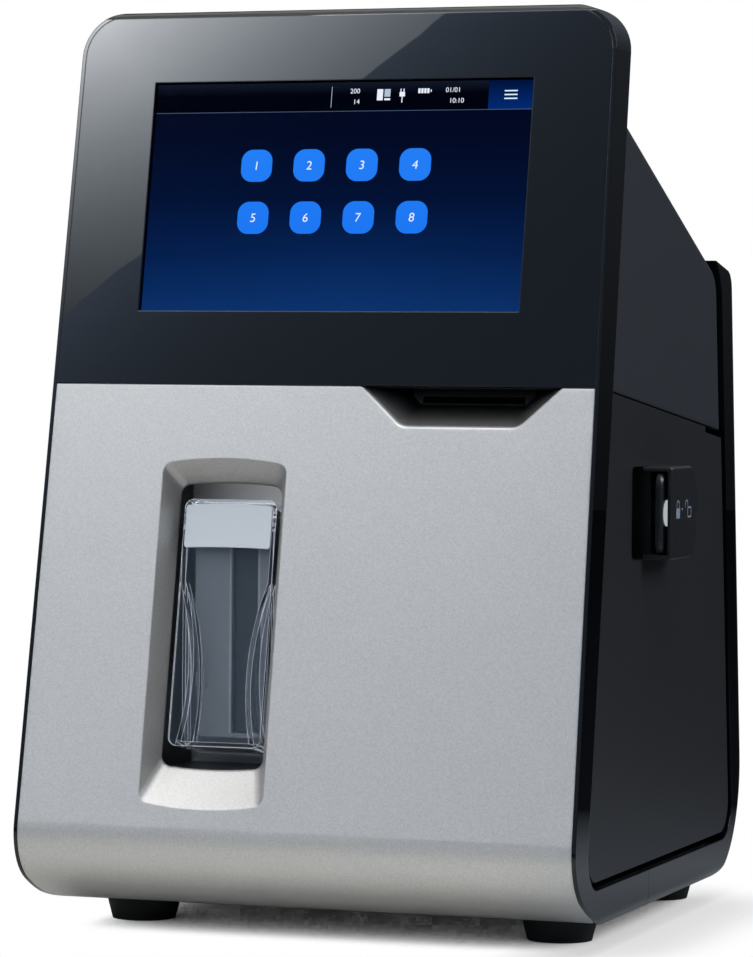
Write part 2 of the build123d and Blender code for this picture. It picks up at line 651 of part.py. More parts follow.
def grips(grow):
    """Shallow cylinders at both sides, from behind the handle's face to the carrier."""
    from_face = HANDLE_D + HANDLE_T - grow
    pair = [
        Pos(HANDLE_X + side * (HANDLE_W / 2 + GRIP_R - GRIP_DEEP), GRIP_V, -from_face - REACH / 16)
        * Cylinder(GRIP_R + grow, REACH / 8)
        for side in (-1, 1)
    ]
    zone = block(-REACH, REACH, -REACH, GRIP_END_Y + grow, 0, REACH)
    return [(FRONT * cylinder) & zone for cylinder in pair]


def sampler_handle():
    """Clear moulded handle: face, side walls with finger grips, floor and lugs at the pivot."""
    half = HANDLE_W / 2
    behind = block(-REACH, REACH, HANDLE_BACK_Y, REACH, 0, REACH)
    between = block(HANDLE_X - half + HANDLE_T, HANDLE_X + half - HANDLE_T, -REACH, REACH, 0, REACH)
    inner = handle_solid(HANDLE_T) - grips(HANDLE_T)
    shell = handle_solid(0) - behind - grips(0) - inner
    lugs = rod(HANDLE_X - half, HANDLE_X + half, PIVOT_Y, PIVOT_Z, HUB_R) - between
    shell = shell + lugs
    shell -= rod(HANDLE_X - half + HANDLE_T, HANDLE_X + half - HANDLE_T, PIVOT_Y, PIVOT_Z, HUB_R + SEAM_GAP)
    return shell - rod(-REACH, REACH, PIVOT_Y, PIVOT_Z, PIVOT_PIN_R + RUN_FIT)


def sampler_cap():
    """Pale plate set on the top of the handle's face, its upper edge bowed."""
    x0, x1 = CAP_X - CAP_W / 2, CAP_X + CAP_W / 2
    edges = Curve() + [
        Line((x0, CAP_V0), (x0, CAP_V1)), ThreePointArc((x0, CAP_V1), (CAP_X, CAP_V1 + CAP_ARCH), (x1, CAP_V1)),
        Line((x1, CAP_V1), (x1, CAP_V0)), ThreePointArc((x1, CAP_V0), (CAP_X, CAP_V0 + CAP_ARCH / 2), (x0, CAP_V0)),
    ]
    face = make_face(edges)
    return FRONT * Pos(0, 0, -HANDLE_D) * extrude(fillet(face.vertices(), 1.2), amount=CAP_T, dir=(0, 0, 1))


def sampler_arm():
    """Upright carrier in the handle: plate with a channel, clip, needle bore and pivot hub."""
    x0, x1 = ARM_X - ARM_W / 2, ARM_X + ARM_W / 2
    plate = block(x0, x1, ARM_FACE_Y, ARM_FACE_Y + ARM_T, ARM_Z0, PIVOT_Z - 2)
    plate += rod(x0, x1, PIVOT_Y, PIVOT_Z, HUB_R)
    channel = block(CHANNEL_X - CHANNEL_W / 2, CHANNEL_X + CHANNEL_W / 2, ARM_FACE_Y - 1,
                    ARM_FACE_Y + CHANNEL_DEPTH, ARM_Z0 + 1.5, PIVOT_Z - 10)
    plate -= fillet(channel.edges().filter_by(Axis.Y), 2)
    clip = block(x0 - 0.6, x0 + 4.8, ARM_FACE_Y - 0.5, ARM_FACE_Y + 1, ARM_Z0 + 19, ARM_Z0 + 25)
    arm = plate + clip - needle(RUN_FIT)
    return arm - rod(-REACH, REACH, PIVOT_Y, PIVOT_Z, PIVOT_PIN_R + RUN_FIT)


def needle(grow):
    """Needle from the carrier's lower end upwards, behind the channel."""
    y = ARM_FACE_Y + (CHANNEL_DEPTH + ARM_T) / 2
    return Pos(CHANNEL_X, y, ARM_Z0 + NEEDLE_L / 2) * Cylinder(NEEDLE_R + grow, NEEDLE_L)


def probe_needle():
    """Steel sampling needle, drawn back into the carrier."""
    return needle(0)


# ------------------------------------------------------------------ slip printer
def paper_guide():
    """Black guide behind the notch with the paper slot and tear edge."""
    low = SPLIT_V - NOTCH_DROP + NOTCH_RAMP - 6
    guide = slab(SLOT_X - SLOT_W / 2 - 4, SLOT_X + SLOT_W / 2 + 4, low, SPLIT_V + 6, NOTCH_DEPTH, NOTCH_DEPTH + 4)
    slot_v = SPLIT_V - NOTCH_DROP + NOTCH_RAMP + 0.4
    guide -= slab(SLOT_X - SLOT_W / 2, SLOT_X + SLOT_W / 2, slot_v, slot_v + SLOT_H, 0, 3 * NOTCH_DEPTH)
    return FRONT * guide


def printer_frame():
    """Two side plates on a base, with the roll's spindle."""
    x0, x1 = SLOT_X - PRINTER_W / 2, SLOT_X + PRINTER_W / 2
    z0 = DECK_Z + DECK_T
    cheek = side_face([
        (PLATEN_Y - 9, z0, 0), (PLATEN_Y - 9, PLATEN_Z + 9, 0), (ROLL_Y - 26, ROLL_Z + 16, 0),
        (ROLL_Y + 12, ROLL_Z + 16, 0), (ROLL_Y + 26, z0, 0),
    ])
    frame = across(cheek, x0 - PLATE_T, x0) + across(cheek, x1, x1 + PLATE_T)
    frame += block(x0 - PLATE_T, x1 + PLATE_T, PLATEN_Y - 9, ROLL_Y + 26, z0, z0 + PLATE_T)
    frame -= rod(x0 - 9, x1 + 9, PLATEN_Y, PLATEN_Z, SHAFT_R + RUN_FIT)
    return frame + rod(x0, x1, ROLL_Y, ROLL_Z, CORE_R - RUN_FIT)


def print_head():
    """Thermal head bar behind the platen, held between the side plates."""
    x0, x1 = SLOT_X - PRINTER_W / 2, SLOT_X + PRINTER_W / 2
    y = PLATEN_Y + PLATEN_R + HEAD_GAP
    bar = block(x0, x1, y, y + 5, PLATEN_Z - 7, PLATEN_Z + 8)
    fins = [block(x0 + 4, x1 - 4, y + 5, y + 9, PLATEN_Z + z, PLATEN_Z + z + 1.2) for z in (-6, -2, 2, 6)]
    return bar + fins


def platen_roller():
    """Rubber platen on its shaft."""
    x0, x1 = SLOT_X - PRINTER_W / 2, SLOT_X + PRINTER_W / 2
    roller = rod(SLOT_X - PLATEN_W / 2, SLOT_X + PLATEN_W / 2, PLATEN_Y, PLATEN_Z, PLATEN_R)
    return roller + rod(x0 - PLATE_T - 1, x1 + PLATE_T + 1, PLATEN_Y, PLATEN_Z, SHAFT_R)


def paper_roll():
    """Roll of thermal paper on the spindle."""
    roll = rod(SLOT_X - ROLL_W / 2, SLOT_X + ROLL_W / 2, ROLL_Y, ROLL_Z, ROLL_R)
    return roll - rod(-REACH, REACH, ROLL_Y, ROLL_Z, CORE_R)


# ------------------------------------------------------------------ cartridge bay
def cartridge_tray():
    """Moulded bay lining, open to the door, with rails to the floor and the deck."""
    outer = block(TRAY_X0, TRAY_X1, TRAY_Y0, TRAY_Y1, TRAY_Z0, TRAY_Z1)
    t = TRAY_T
    inner = block(TRAY_X0 + t, TRAY_X1 + 1, TRAY_Y0 + t, TRAY_Y1 - t, TRAY_Z0 + t, TRAY_Z1 - t)
    tray = outer - fillet(inner.edges().filter_by(Axis.X), 4)
    for y in (TRAY_Y0 + 10, TRAY_Y1 - 14):
        tray += block(TRAY_X0 + 6, TRAY_X1 - 8, y, y + 4, UNDERSIDE + WALL + PAN_T, TRAY_Z0)
        tray += block(TRAY_X0 + 6, TRAY_X1 - 8, y, y + 4, TRAY_Z1, DECK_Z)
    return tray - rod(-REACH, 0, PUMP_Y, PUMP_Z, 4)


def cartridge_case():
    """Reagent and sensor cartridge: a moulded box with a pocket that clears the pump."""
    t, c = TRAY_T, CARTRIDGE_CLEAR
    case = block(TRAY_X0 + t + c, CARTRIDGE_FACE_X, TRAY_Y0 + t + c, TRAY_Y1 - t - c, TRAY_Z0 + t, TRAY_Z1 - t - 4)
    case = fillet(case.edges().filter_by(Axis.X), 4)
    grip = block(CARTRIDGE_FACE_X - 14, CARTRIDGE_FACE_X + 1, PULL_Y0, PULL_Y1, PULL_Z0, PULL_Z0 + PULL_H)
    case -= fillet(grip.edges().filter_by(Axis.X), 6)
    panel = block(CARTRIDGE_FACE_X - 0.8, CARTRIDGE_FACE_X + 1, PULL_Y0 - 18, PULL_Y1 + 26, TRAY_Z0 + 17, PULL_Z0 - 20)
    case -= panel
    return case - rod(TRAY_X0, TRAY_X0 + 24, PUMP_Y, PUMP_Z, PUMP_R + 3)


def cartridge_grip():
    """Pull bar across the cartridge's grip recess."""
    mid_z = PULL_Z0 + PULL_H / 2
    bar = block(CARTRIDGE_FACE_X - 5, CARTRIDGE_FACE_X - 1, PULL_Y0, PULL_Y1, mid_z - 4, mid_z + 4)
    return fillet(bar.edges().filter_by(Axis.Y), 1.5)


def pump_motor():
    """Stepper motor of the pump, on the back of the bay wall."""
    half = MOTOR_SIZE / 2
    body = block(TRAY_X0 - MOTOR_L, TRAY_X0, PUMP_Y - half, PUMP_Y + half, PUMP_Z - half, PUMP_Z + half)
    return chamfer(body.edges().filter_by(Axis.X), 4)


def pump_rotor():
    """Six-sided plate on the drive shaft that carries the rollers."""
    x = TRAY_X0 + TRAY_T + 0.5
    plate = extrude(RegularPolygon(PUMP_R - ROLLER_R, 2 * PUMP_ROLLERS), amount=2)
    return Pos(x, PUMP_Y, PUMP_Z) * Rot(0, 90, 0) * plate + rod(x - 2, x + 14, PUMP_Y, PUMP_Z, 3)


def roller_places():
    ring = PUMP_R - ROLLER_R - 3
    for k in range(PUMP_ROLLERS):
        a = math.radians(90 + 360 * k / PUMP_ROLLERS)
        yield PUMP_Y + ring * math.cos(a), PUMP_Z + ring * math.sin(a)


def pump_rollers():
    """Three rollers on the plate."""
    x = TRAY_X0 + TRAY_T + 0.5
    return Compound([rod(x + 2, x + 14, y, z, ROLLER_R) for y, z in roller_places()])


def valve_block():
    """Valve and sensor contact block behind the bay wall."""
    z0, z1 = TRAY_Z0 + 29, TRAY_Z0 + 73
    body = block(TRAY_X0 - 22, TRAY_X0, TRAY_Y0 + 12, TRAY_Y0 + 66, z0, z1)
    for y in (22, 36, 50):
        body += block(TRAY_X0 - 32, TRAY_X0 - 22, TRAY_Y0 + y - 5, TRAY_Y0 + y + 5, z1 - 18, z1 - 6)
    return body


# ------------------------------------------------------------------ door, hinge and latch
def hinge_frame(z):
    """Axis of the door at height z: along the rear edge, leaning and tapering with it."""
    direction = (-tan(SIDE_TAPER), -tan(CORE_LEAN), 1)
    origin = (half_width(z) - SIDE_INSET - HINGE_IN, core_rear_y(z) - HINGE_EDGE, z)
    return Plane(origin=origin, x_dir=(1, 0, tan(SIDE_TAPER)), z_dir=direction).location


def latch_face_x():
    """Outer face of the door at the latch."""
    return half_width((LATCH_Z0 + LATCH_Z1) / 2) - SIDE_INSET


def cartridge_door():
    """Door skin with ribs, finger scoop, latch slot and two hinge knuckles."""
    relief_y = core_rear_y(DIAGONAL_Z) - DOOR_RELIEF_L
    relief = across(above_diagonal(-2 * SEAM_GAP - DOOR_RELIEF), 0, REACH / 2)
    door = side_skin(+1) + rib_ring(+1) - (relief & block(0, REACH, relief_y, REACH, 0, REACH))
    mid_z = (LATCH_Z0 + LATCH_Z1) / 2
    x = latch_face_x()
    scoop_y0, scoop_y1 = LATCH_Y0 - SCOOP_RUN, LATCH_Y0 + SCOOP_FLOOR + SCOOP_DEPTH
    door += block(x - SCOOP_DEPTH - RIB_T, x - WALL / 2, scoop_y0, scoop_y1 + RIB_T,
                  LATCH_Z0 - RIB_T, LATCH_Z1 + RIB_T)
    door -= scoop()
    stem_y = LATCH_Y0 + STEM_IN
    door -= block(0, REACH, stem_y - 0.5, stem_y + STEM_W + LATCH_TRAVEL + 0.5,
                  mid_z - STEM_H / 2 - 0.5, mid_z + STEM_H / 2 + 0.5)
    door -= block(x - WALL - 2 * DOOR_RIB, x - SCOOP_DEPTH - RIB_T, -REACH, scoop_y0, mid_z - 6, mid_z + 6)
    web = block(0, HINGE_IN - WALL + 0.5, -KNUCKLE_R, KNUCKLE_R, -KNUCKLE_L / 2, KNUCKLE_L / 2)
    for z in HINGE_HEIGHTS:
        door += hinge_frame(z) * (Cylinder(KNUCKLE_R, KNUCKLE_L) + web)
        door -= hinge_frame(z) * Cylinder(HINGE_PIN_R + RUN_FIT, 2 * KNUCKLE_L)
    return door


def scoop():
    """Finger scoop: as tall as the latch, falling softly from the front, rounded up at the rear."""
    x, floor_x = latch_face_x(), latch_face_x() - SCOOP_DEPTH
    y0, y1 = LATCH_Y0 - SCOOP_RUN, LATCH_Y0 + SCOOP_FLOOR
    half_way = (x - SCOOP_DEPTH / 2, (y0 + LATCH_Y0) / 2)
    fall = TangentArc((x, y0), half_way, tangent=(0, 1))
    settle = TangentArc(half_way, (floor_x, LATCH_Y0), tangent=fall % 1)
    rise = TangentArc((floor_x, y1), (x, y1 + SCOOP_DEPTH), tangent=(0, 1))
    edges = Curve() + [
        fall, settle, Line((floor_x, LATCH_Y0), (floor_x, y1)), rise,
        Line((x, y1 + SCOOP_DEPTH), (x + WALL, y1 + SCOOP_DEPTH)),
        Line((x + WALL, y1 + SCOOP_DEPTH), (x + WALL, y0)), Line((x + WALL, y0), (x, y0)),
    ]
    tall = Pos(0, 0, LATCH_Z0) * extrude(make_face(edges), amount=LATCH_Z1 - LATCH_Z0, dir=(0, 0, 1))
    outline = side_face([
        (y0, LATCH_Z0, 2 * WALL), (HEIGHT, LATCH_Z0, 0), (HEIGHT, LATCH_Z1, 0), (y0, LATCH_Z1, 2 * WALL),
    ])
    return tall & across(outline, 0, REACH / 2)


def hinge_brackets():
    """Two brackets on the rear wall of the bay, each with two ears for its pin."""
    parts = []
    for z in HINGE_HEIGHTS:
        reach = core_rear_y(z) - HINGE_EDGE - TRAY_Y1 + 2 * WALL
        half = KNUCKLE_L / 2 + KNUCKLE_GAP + EAR_L
        bracket = block(-19, -15, -reach, KNUCKLE_R - 0.5, -half, half)
        for end in (-1, 1):
            mid = end * (KNUCKLE_L / 2 + KNUCKLE_GAP + EAR_L / 2)
            ear = extrude(RegularPolygon(KNUCKLE_R, 8), amount=EAR_L / 2, both=True)
            bracket += Pos(0, 0, mid) * Rot(0, 0, 22.5) * ear
            bracket += block(-16, 0, -KNUCKLE_R + 0.5, KNUCKLE_R - 0.5, mid - EAR_L / 2, mid + EAR_L / 2)
        bracket -= Cylinder(HINGE_PIN_R, 4 * KNUCKLE_L)
        parts.append((hinge_frame(z) * bracket) & block(-REACH, REACH, TRAY_Y1, REACH, 0, REACH))
    return Compound(parts)


def hinge_pins():
    """Steel pins, held in the ears and free in the door's knuckles."""
    length = KNUCKLE_L + 2 * (KNUCKLE_GAP + EAR_L)
    return Compound([hinge_frame(z) * Cylinder(HINGE_PIN_R, length) for z in HINGE_HEIGHTS])


def latch_housing():
    """Block on the door's face, open to the front, with rounded rear corners."""
    x = latch_face_x() - WALL / 2
    out = latch_face_x() + LATCH_PROUD
    outline = side_face([
        (LATCH_Y0, LATCH_Z0, 1.2), (LATCH_Y1, LATCH_Z0, LATCH_RADIUS),
        (LATCH_Y1, LATCH_Z1, LATCH_RADIUS), (LATCH_Y0, LATCH_Z1, 1.2),
    ])
    shell = across(outline, x, out)
    shell = chamfer(shell.faces().sort_by(Axis.X)[-1].edges(), 0.8)
    w = LATCH_WALL
    mouth = block(x - 1, out - w, LATCH_Y0 - 1, LATCH_Y1 - w - 4, LATCH_Z0 + w, LATCH_Z1 - w)
    shell -= mouth
    return shell - door_solid_at_latch()


def door_solid_at_latch():
    """The door's skin under the latch, as a cutter for what seats on it."""
    region = core_face() - above_diagonal(-2 * SEAM_GAP)
    return across(region, 0, REACH / 2) & front_prism(SIDE_INSET)


def latch_paddle():
    """Pill-shaped pull in the latch's mouth, with the stem that goes through the door."""
    x0 = latch_face_x() + PADDLE_LIFT
    nose = LATCH_Y0 - PADDLE_NOSE
    mid_z = (LATCH_Z0 + LATCH_Z1) / 2
    half = (LATCH_Z1 - LATCH_Z0) / 2 - LATCH_WALL - PADDLE_CLEAR
    outline = side_face([
        (nose, mid_z - half, PADDLE_RADIUS), (nose + PADDLE_L, mid_z - half, 0),
        (nose + PADDLE_L, mid_z + half, 0), (nose, mid_z + half, PADDLE_RADIUS),
    ])
    plate = across(outline, x0, x0 + PADDLE_T)
    plate = chamfer(plate.faces().sort_by(Axis.X)[-1].edges(), 0.9)
    y0 = LATCH_Y0 + STEM_IN
    stem = block(latch_face_x() - SCOOP_DEPTH - RIB_T - 4, x0 + 1, y0, y0 + STEM_W,
                 mid_z - STEM_H / 2, mid_z + STEM_H / 2)
    return plate + stem


def latch_dot():
    """White position mark on the paddle."""
    x = latch_face_x() + PADDLE_LIFT + PADDLE_T
    mid_z = (LATCH_Z0 + LATCH_Z1) / 2
    return rod(x, x + DOT_T, LATCH_Y0 + DOT_IN, mid_z, DOT_R)


def latch_bar():
    """Steel tongue inside the door, carried by the paddle's stem."""
    x1 = latch_face_x() - SCOOP_DEPTH - RIB_T - SEAM_GAP
    mid_z = (LATCH_Z0 + LATCH_Z1) / 2
    front = seam_y(mid_z) + SEAM_GAP + 1
    y0 = LATCH_Y0 + STEM_IN
    bar = block(x1 - 1.6, x1, front, y0 + STEM_W + 4, mid_z - 5, mid_z + 5)
    return bar - block(0, REACH, y0, y0 + STEM_W, mid_z - STEM_H / 2, mid_z + STEM_H / 2)


# ------------------------------------------------------------------ rear fittings
def port_places():
    """Ports along the rear: name, centre x seen from behind, width, height."""
    return [("jack", 66, 2 * JACK_R + 3, 2 * JACK_R + 3), ("rocker", 40, ROCKER_W, ROCKER_H),
            ("usb_a", 8, 14, 7), ("usb_b", -14, 14, 7), ("lan", -40, 16, 14)]


def port_cuts():
    return [
        slab(x - w / 2 - 0.1, x + w / 2 + 0.1, PORT_V - h / 2 - 0.1, PORT_V + h / 2 + 0.1, 0, 3 * WALL)
        for _, x, w, h in port_places()
    ]


def port_body(name, depth):
    """Body of one port through the cover, with a flange on the cover's face."""
    _, x, w, h = next(place for place in port_places() if place[0] == name)
    body = slab(x - w / 2, x + w / 2, PORT_V - h / 2, PORT_V + h / 2, WALL - 1, WALL + depth)
    return body + slab(x - w / 2 - 1.5, x + w / 2 + 1.5, PORT_V - h / 2 - 1.5, PORT_V + h / 2 + 1.5, WALL - 1, WALL)


def power_jack():
    _, x, _, _ = port_places()[0]
    bore = Pos(x, PORT_V, -WALL) * Cylinder(JACK_R - 1.5, 16)
    pin = Pos(x, PORT_V, -WALL - 4) * Cylinder(1.0, 9)
    return REAR * (port_body("jack", 12) - bore + pin)


def socket(name, hollow_w, hollow_h, tongue):
    """Data socket with its mouth and contact tongue."""
    _, x, _, _ = next(place for place in port_places() if place[0] == name)
    body = port_body(name, 13)
    body -= slab(x - hollow_w / 2, x + hollow_w / 2, PORT_V - hollow_h / 2, PORT_V + hollow_h / 2, 0, WALL + 11)
    return body + slab(x - hollow_w / 2 + 1, x + hollow_w / 2 - 1, PORT_V + tongue, PORT_V + tongue + 1.4, WALL, WALL + 12)


def usb_ports():
    return Compound([REAR * socket("usb_a", 12.2, 5.0, 0.4), REAR * socket("usb_b", 12.2, 5.0, 0.4)])


def lan_port():
    return REAR * socket("lan", 12.0, 9.0, 2.4)


def rocker_bezel():
    """Open bezel of the power switch, with bores for the rocker's pins."""
    _, x, w, h = port_places()[1]
    body = port_body("rocker", 10)
    body -= slab(x - w / 2 + 1, x + w / 2 - 1, PORT_V - h / 2 + 1, PORT_V + h / 2 - 1, 0, WALL + 9)
    return REAR * (body - Pos(0, PORT_V, -WALL - ROCKER_PIN_D) * rod(x - w, x + w, 0, 0, ROCKER_PIN_R + RUN_FIT))


def rocker():
    """Power rocker on its round pins, resting with its lower half pressed."""
    _, x, w, h = port_places()[1]
    half_h = h / 2 - 1.7
    key = slab(x - w / 2 + 1.3, x + w / 2 - 1.3, -half_h, half_h, -0.6 - ROCKER_PIN_D, 3 - ROCKER_PIN_D)
    key = chamfer(key.edges().filter_by(Axis.X).group_by(Axis.Z)[-1], 1.0)
    key += rod(x - w / 2 + 0.3, x + w / 2 - 0.3, 0, 0, ROCKER_PIN_R)
    tilt = Pos(0, PORT_V, -WALL - ROCKER_PIN_D) * Rot(ROCKER_TILT, 0, 0)
    return REAR * tilt * key


def fan_frame():
    """Fan housing on the inside of the rear cover."""
    d = WALL + COVER_T
    half = FAN_SIZE / 2
    frame = slab(-FAN_X - half, -FAN_X + half, FAN_V - half, FAN_V + half, d, d + FAN_DEPTH)
    frame -= Pos(-FAN_X, FAN_V, 0) * Cylinder(FAN_R + 1.5, REACH / 8)
    spider = slab(-FAN_X - half + 1, -FAN_X + half - 1, FAN_V - 1.5, FAN_V + 1.5, d + FAN_DEPTH - 2, d + FAN_DEPTH)
    spider += slab(-FAN_X - 1.5, -FAN_X + 1.5, FAN_V - half + 1, FAN_V + half - 1, d + FAN_DEPTH - 2, d + FAN_DEPTH)
    hub = Pos(-FAN_X, FAN_V, -d - FAN_DEPTH + 1) * Cylinder(12, 2)
    post = Pos(-FAN_X, FAN_V, -d - FAN_DEPTH + 4) * Cylinder(1.5, 8)
    return REAR * (frame + spider + hub + post)


def fan_rotor():
    """Hub with pitched blades."""
    d = WALL + COVER_T
    mid = -(d + FAN_DEPTH / 2 - 1)
    hub = Pos(-FAN_X, FAN_V, mid) * Cylinder(11, FAN_DEPTH - 5)
    blade = Pos(FAN_R / 2 + 4, 0, 0) * Rot(38, 0, 0) * Box(FAN_R - 10, 12, 1.2)
    for k in range(FAN_BLADES):
        hub += Pos(-FAN_X, FAN_V, mid) * Rot(0, 0, 360 * k / FAN_BLADES) * blade
    return REAR * (hub - Pos(-FAN_X, FAN_V, mid) * Cylinder(1.5 + RUN_FIT, REACH / 8))


# ------------------------------------------------------------------ write the parts
PARTS = {
    "front_frame": front_frame, "rear_frame": rear_frame, "upper_housing": upper_housing,
    "left_side_panel": left_side_panel, "front_cover": front_cover, "display_panel": display_panel,
    "touch_glass": touch_glass, "lcd_module": lcd_module, "display_board": display_board,
    "rear_cover": rear_cover, "base_pan": base_pan, "upper_deck": upper_deck,
    "left_upright": left_upright, "main_board": main_board, "battery_pack": battery_pack,
    "feet": feet,
    "sampler_well": sampler_well, "sampler_pin": sampler_pin, "sampler_handle": sampler_handle,
    "sampler_cap": sampler_cap, "sampler_arm": sampler_arm, "probe_needle": probe_needle,
    "paper_guide": paper_guide, "printer_frame": printer_frame, "print_head": print_head,
    "platen_roller": platen_roller, "paper_roll": paper_roll,
    "cartridge_tray": cartridge_tray, "cartridge_case": cartridge_case, "cartridge_grip": cartridge_grip,
    "pump_motor": pump_motor, "pump_rotor": pump_rotor, "pump_rollers": pump_rollers,
    "valve_block": valve_block, "cartridge_door": cartridge_door, "hinge_brackets": hinge_brackets,
    "hinge_pins": hinge_pins, "latch_housing": latch_housing, "latch_paddle": latch_paddle,
    "latch_dot": latch_dot, "latch_bar": latch_bar, "power_jack": power_jack, "usb_ports": usb_ports,
    "lan_port": lan_port, "rocker_bezel": rocker_bezel, "rocker": rocker, "fan_frame": fan_frame,
    "fan_rotor": fan_rotor,
}

os.makedirs("parts", exist_ok=True)
shapes = {name: make() for name, make in PARTS.items()}
boxes = [shape.bounding_box() for shape in shapes.values()]
mid_x = (min(b.min.X for b in boxes) + max(b.max.X for b in boxes)) / 2
mid_y = (min(b.min.Y for b in boxes) + max(b.max.Y for b in boxes)) / 2
print("moved by", round(-mid_x, 4), round(-mid_y, 4))
for name, shape in shapes.items():
    export_step(shape.moved(Location((-mid_x, -mid_y, 0))), f"parts/{name}.step")
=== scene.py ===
"""Bench-top blood gas analyzer, dressed for a studio picture. Metres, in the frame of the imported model:
+X to the right as seen from the front, +Y to the rear, +Z up, the bench at Z = 0.
"""
import math

import bpy
import numpy as np
from mathutils import Euler, Matrix, Vector


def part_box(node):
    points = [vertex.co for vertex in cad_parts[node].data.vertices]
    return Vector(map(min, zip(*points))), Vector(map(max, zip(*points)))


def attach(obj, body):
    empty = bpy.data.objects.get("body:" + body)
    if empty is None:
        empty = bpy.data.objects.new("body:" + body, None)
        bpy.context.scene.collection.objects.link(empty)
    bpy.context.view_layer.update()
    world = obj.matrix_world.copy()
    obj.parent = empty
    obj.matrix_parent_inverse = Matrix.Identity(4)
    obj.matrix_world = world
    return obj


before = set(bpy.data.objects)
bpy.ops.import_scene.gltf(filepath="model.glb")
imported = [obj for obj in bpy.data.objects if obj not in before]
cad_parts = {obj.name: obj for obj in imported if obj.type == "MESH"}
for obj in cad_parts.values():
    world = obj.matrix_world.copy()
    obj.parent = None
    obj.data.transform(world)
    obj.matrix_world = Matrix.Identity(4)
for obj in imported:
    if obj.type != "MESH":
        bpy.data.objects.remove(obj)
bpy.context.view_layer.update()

MM = 0.001


# ------------------------------------------------------------------ studio
# A white sweep under a soft lamp above, another at the right and a large lit cloth in front. The camera
# stands to the right of the unit with a long lens, a little above half the unit's height. The cloth is
# placed by what the gloss panel mirrors of it.
class Wire:
    """An output in a material. A sum written with it adds the Math nodes, so 1 - mask is a node too."""

    def __init__(self, finish, socket):
        self.finish = finish
        self.socket = socket

    def math(self, operation, *values):
        return self.finish.node("ShaderNodeMath", {"operation": operation}, dict(enumerate(values)))

    def __add__(self, other):
        return self.math("ADD", self, other)

    __radd__ = __add__

    def __mul__(self, other):
        return self.math("MULTIPLY", self, other)

    __rmul__ = __mul__

    def __sub__(self, other):
        return self.math("SUBTRACT", self, other)

    def __rsub__(self, other):
        return self.math("SUBTRACT", other, self)

    def __truediv__(self, other):
        return self.math("DIVIDE", self, other)

    def __gt__(self, other):
        return self.math("GREATER_THAN", self, other)

    def __lt__(self, other):
        return self.math("LESS_THAN", self, other)

    def __abs__(self):
        return self.math("ABSOLUTE", self)

    def power(self, other):
        return self.math("POWER", self, other)

    def least(self, other):
        return self.math("MINIMUM", self, other)

    def most(self, other):
        return self.math("MAXIMUM", self, other)

    def clipped(self):
        return self.most(0.0).least(1.0)

    def exponent(self):
        return self.math("EXPONENT", self)


class Finish:
    """A material under construction, or with a ready node tree such as the world's."""

    def __init__(self, name, tree=None):
        if tree is None:
            self.material = bpy.data.materials.new(name)
            self.material.use_nodes = True
            tree = self.material.node_tree
        self.tree = tree
        tree.nodes.clear()

    def node(self, kind, settings=None, values=None, out=0):
        """Adds a node: its settings first, then a value or a link for each named or numbered socket."""
        made = self.tree.nodes.new(kind)
        for name, value in (settings or {}).items():
            if name == "stops":
                ramp = made.color_ramp.elements
                while len(ramp) < len(value):
                    ramp.new(0.5)
                for stop, (place, colour) in zip(ramp, value):
                    stop.position, stop.color = place, (*colour, 1.0)
            else:
                setattr(made, name, value)
        for name, value in (values or {}).items():
            if isinstance(value, Wire):
                self.tree.links.new(value.socket, made.inputs[name])
            elif isinstance(value, (tuple, list)) and len(value) == 3 and made.inputs[name].type == "RGBA":
                made.inputs[name].default_value = (*value, 1.0)
            else:
                made.inputs[name].default_value = value
        return Wire(self, made.outputs[out]) if made.outputs else None

    def place(self):
        """Object coordinates, which on every piece are metres in the unit's frame."""
        return self.node("ShaderNodeTexCoord", out=3)

    def ray(self, kind):
        """1 for a ray of this kind, else 0."""
        return self.node("ShaderNodeLightPath", out=kind)

    def along(self, direction, start=(0, 0, 0)):
        """Distance of a point from start along a direction."""
        offset = self.node("ShaderNodeVectorMath", {"operation": "SUBTRACT"}, {0: self.place(), 1: start})
        return self.node(
            "ShaderNodeVectorMath", {"operation": "DOT_PRODUCT"}, {0: offset, 1: tuple(direction)}, out=1)

    def noise(self, per_metre, detail):
        return self.node("ShaderNodeTexNoise", None, {
            "Vector": self.place(), "Scale": per_metre, "Detail": detail, "Roughness": 0.5})

    def cells(self, per_metre, out=0):
        return self.node("ShaderNodeTexVoronoi", None, {"Vector": self.place(), "Scale": per_metre}, out=out)

    def blend(self, factor, first, second):
        """Colour mixed from first to second."""
        return self.node("ShaderNodeMix", {"data_type": "RGBA"}, {0: factor, 6: first, 7: second}, out=2)

    def scaled(self, colour, scale):
        return self.node("ShaderNodeVectorMath", {"operation": "SCALE"}, {0: colour, "Scale": scale})

    def relief(self, height, depth, normal=None):
        """Normal bent by a height, from 0 to 1, that stands for this depth."""
        values = {"Height": height, "Distance": depth, "Strength": 1.0}
        if normal is not None:
            values["Normal"] = normal
        return self.node("ShaderNodeBump", None, values)

    def soft_edges(self, radius):
        """Normal that rounds the sharp edges of a moulding by this radius."""
        return self.node("ShaderNodeBevel", {"samples": 4}, {"Radius": radius})

    def principled(self, **values):
        return self.node("ShaderNodeBsdfPrincipled", None, {
            name.replace("_", " "): value for name, value in values.items()})

    def surface(self, shader):
        self.node("ShaderNodeOutputMaterial", None, {"Surface": shader})
        return self.material


WHITE = (1.0, 1.0, 1.0)
BLACK = (0.0, 0.0, 0.0)
CAMERA_RAY, SHADOW_RAY, THROUGH_RAY = 0, 1, 6       # kinds of ray, in the order of the node's outputs

CAMERA_PLACE = Vector((0.53773, -1.6023, 0.2166))
CAMERA_TURN = (88.57, -0.505, 18.988)       # degrees
LONG_SIDE_SENSOR = 36.0
LENS = 158.47

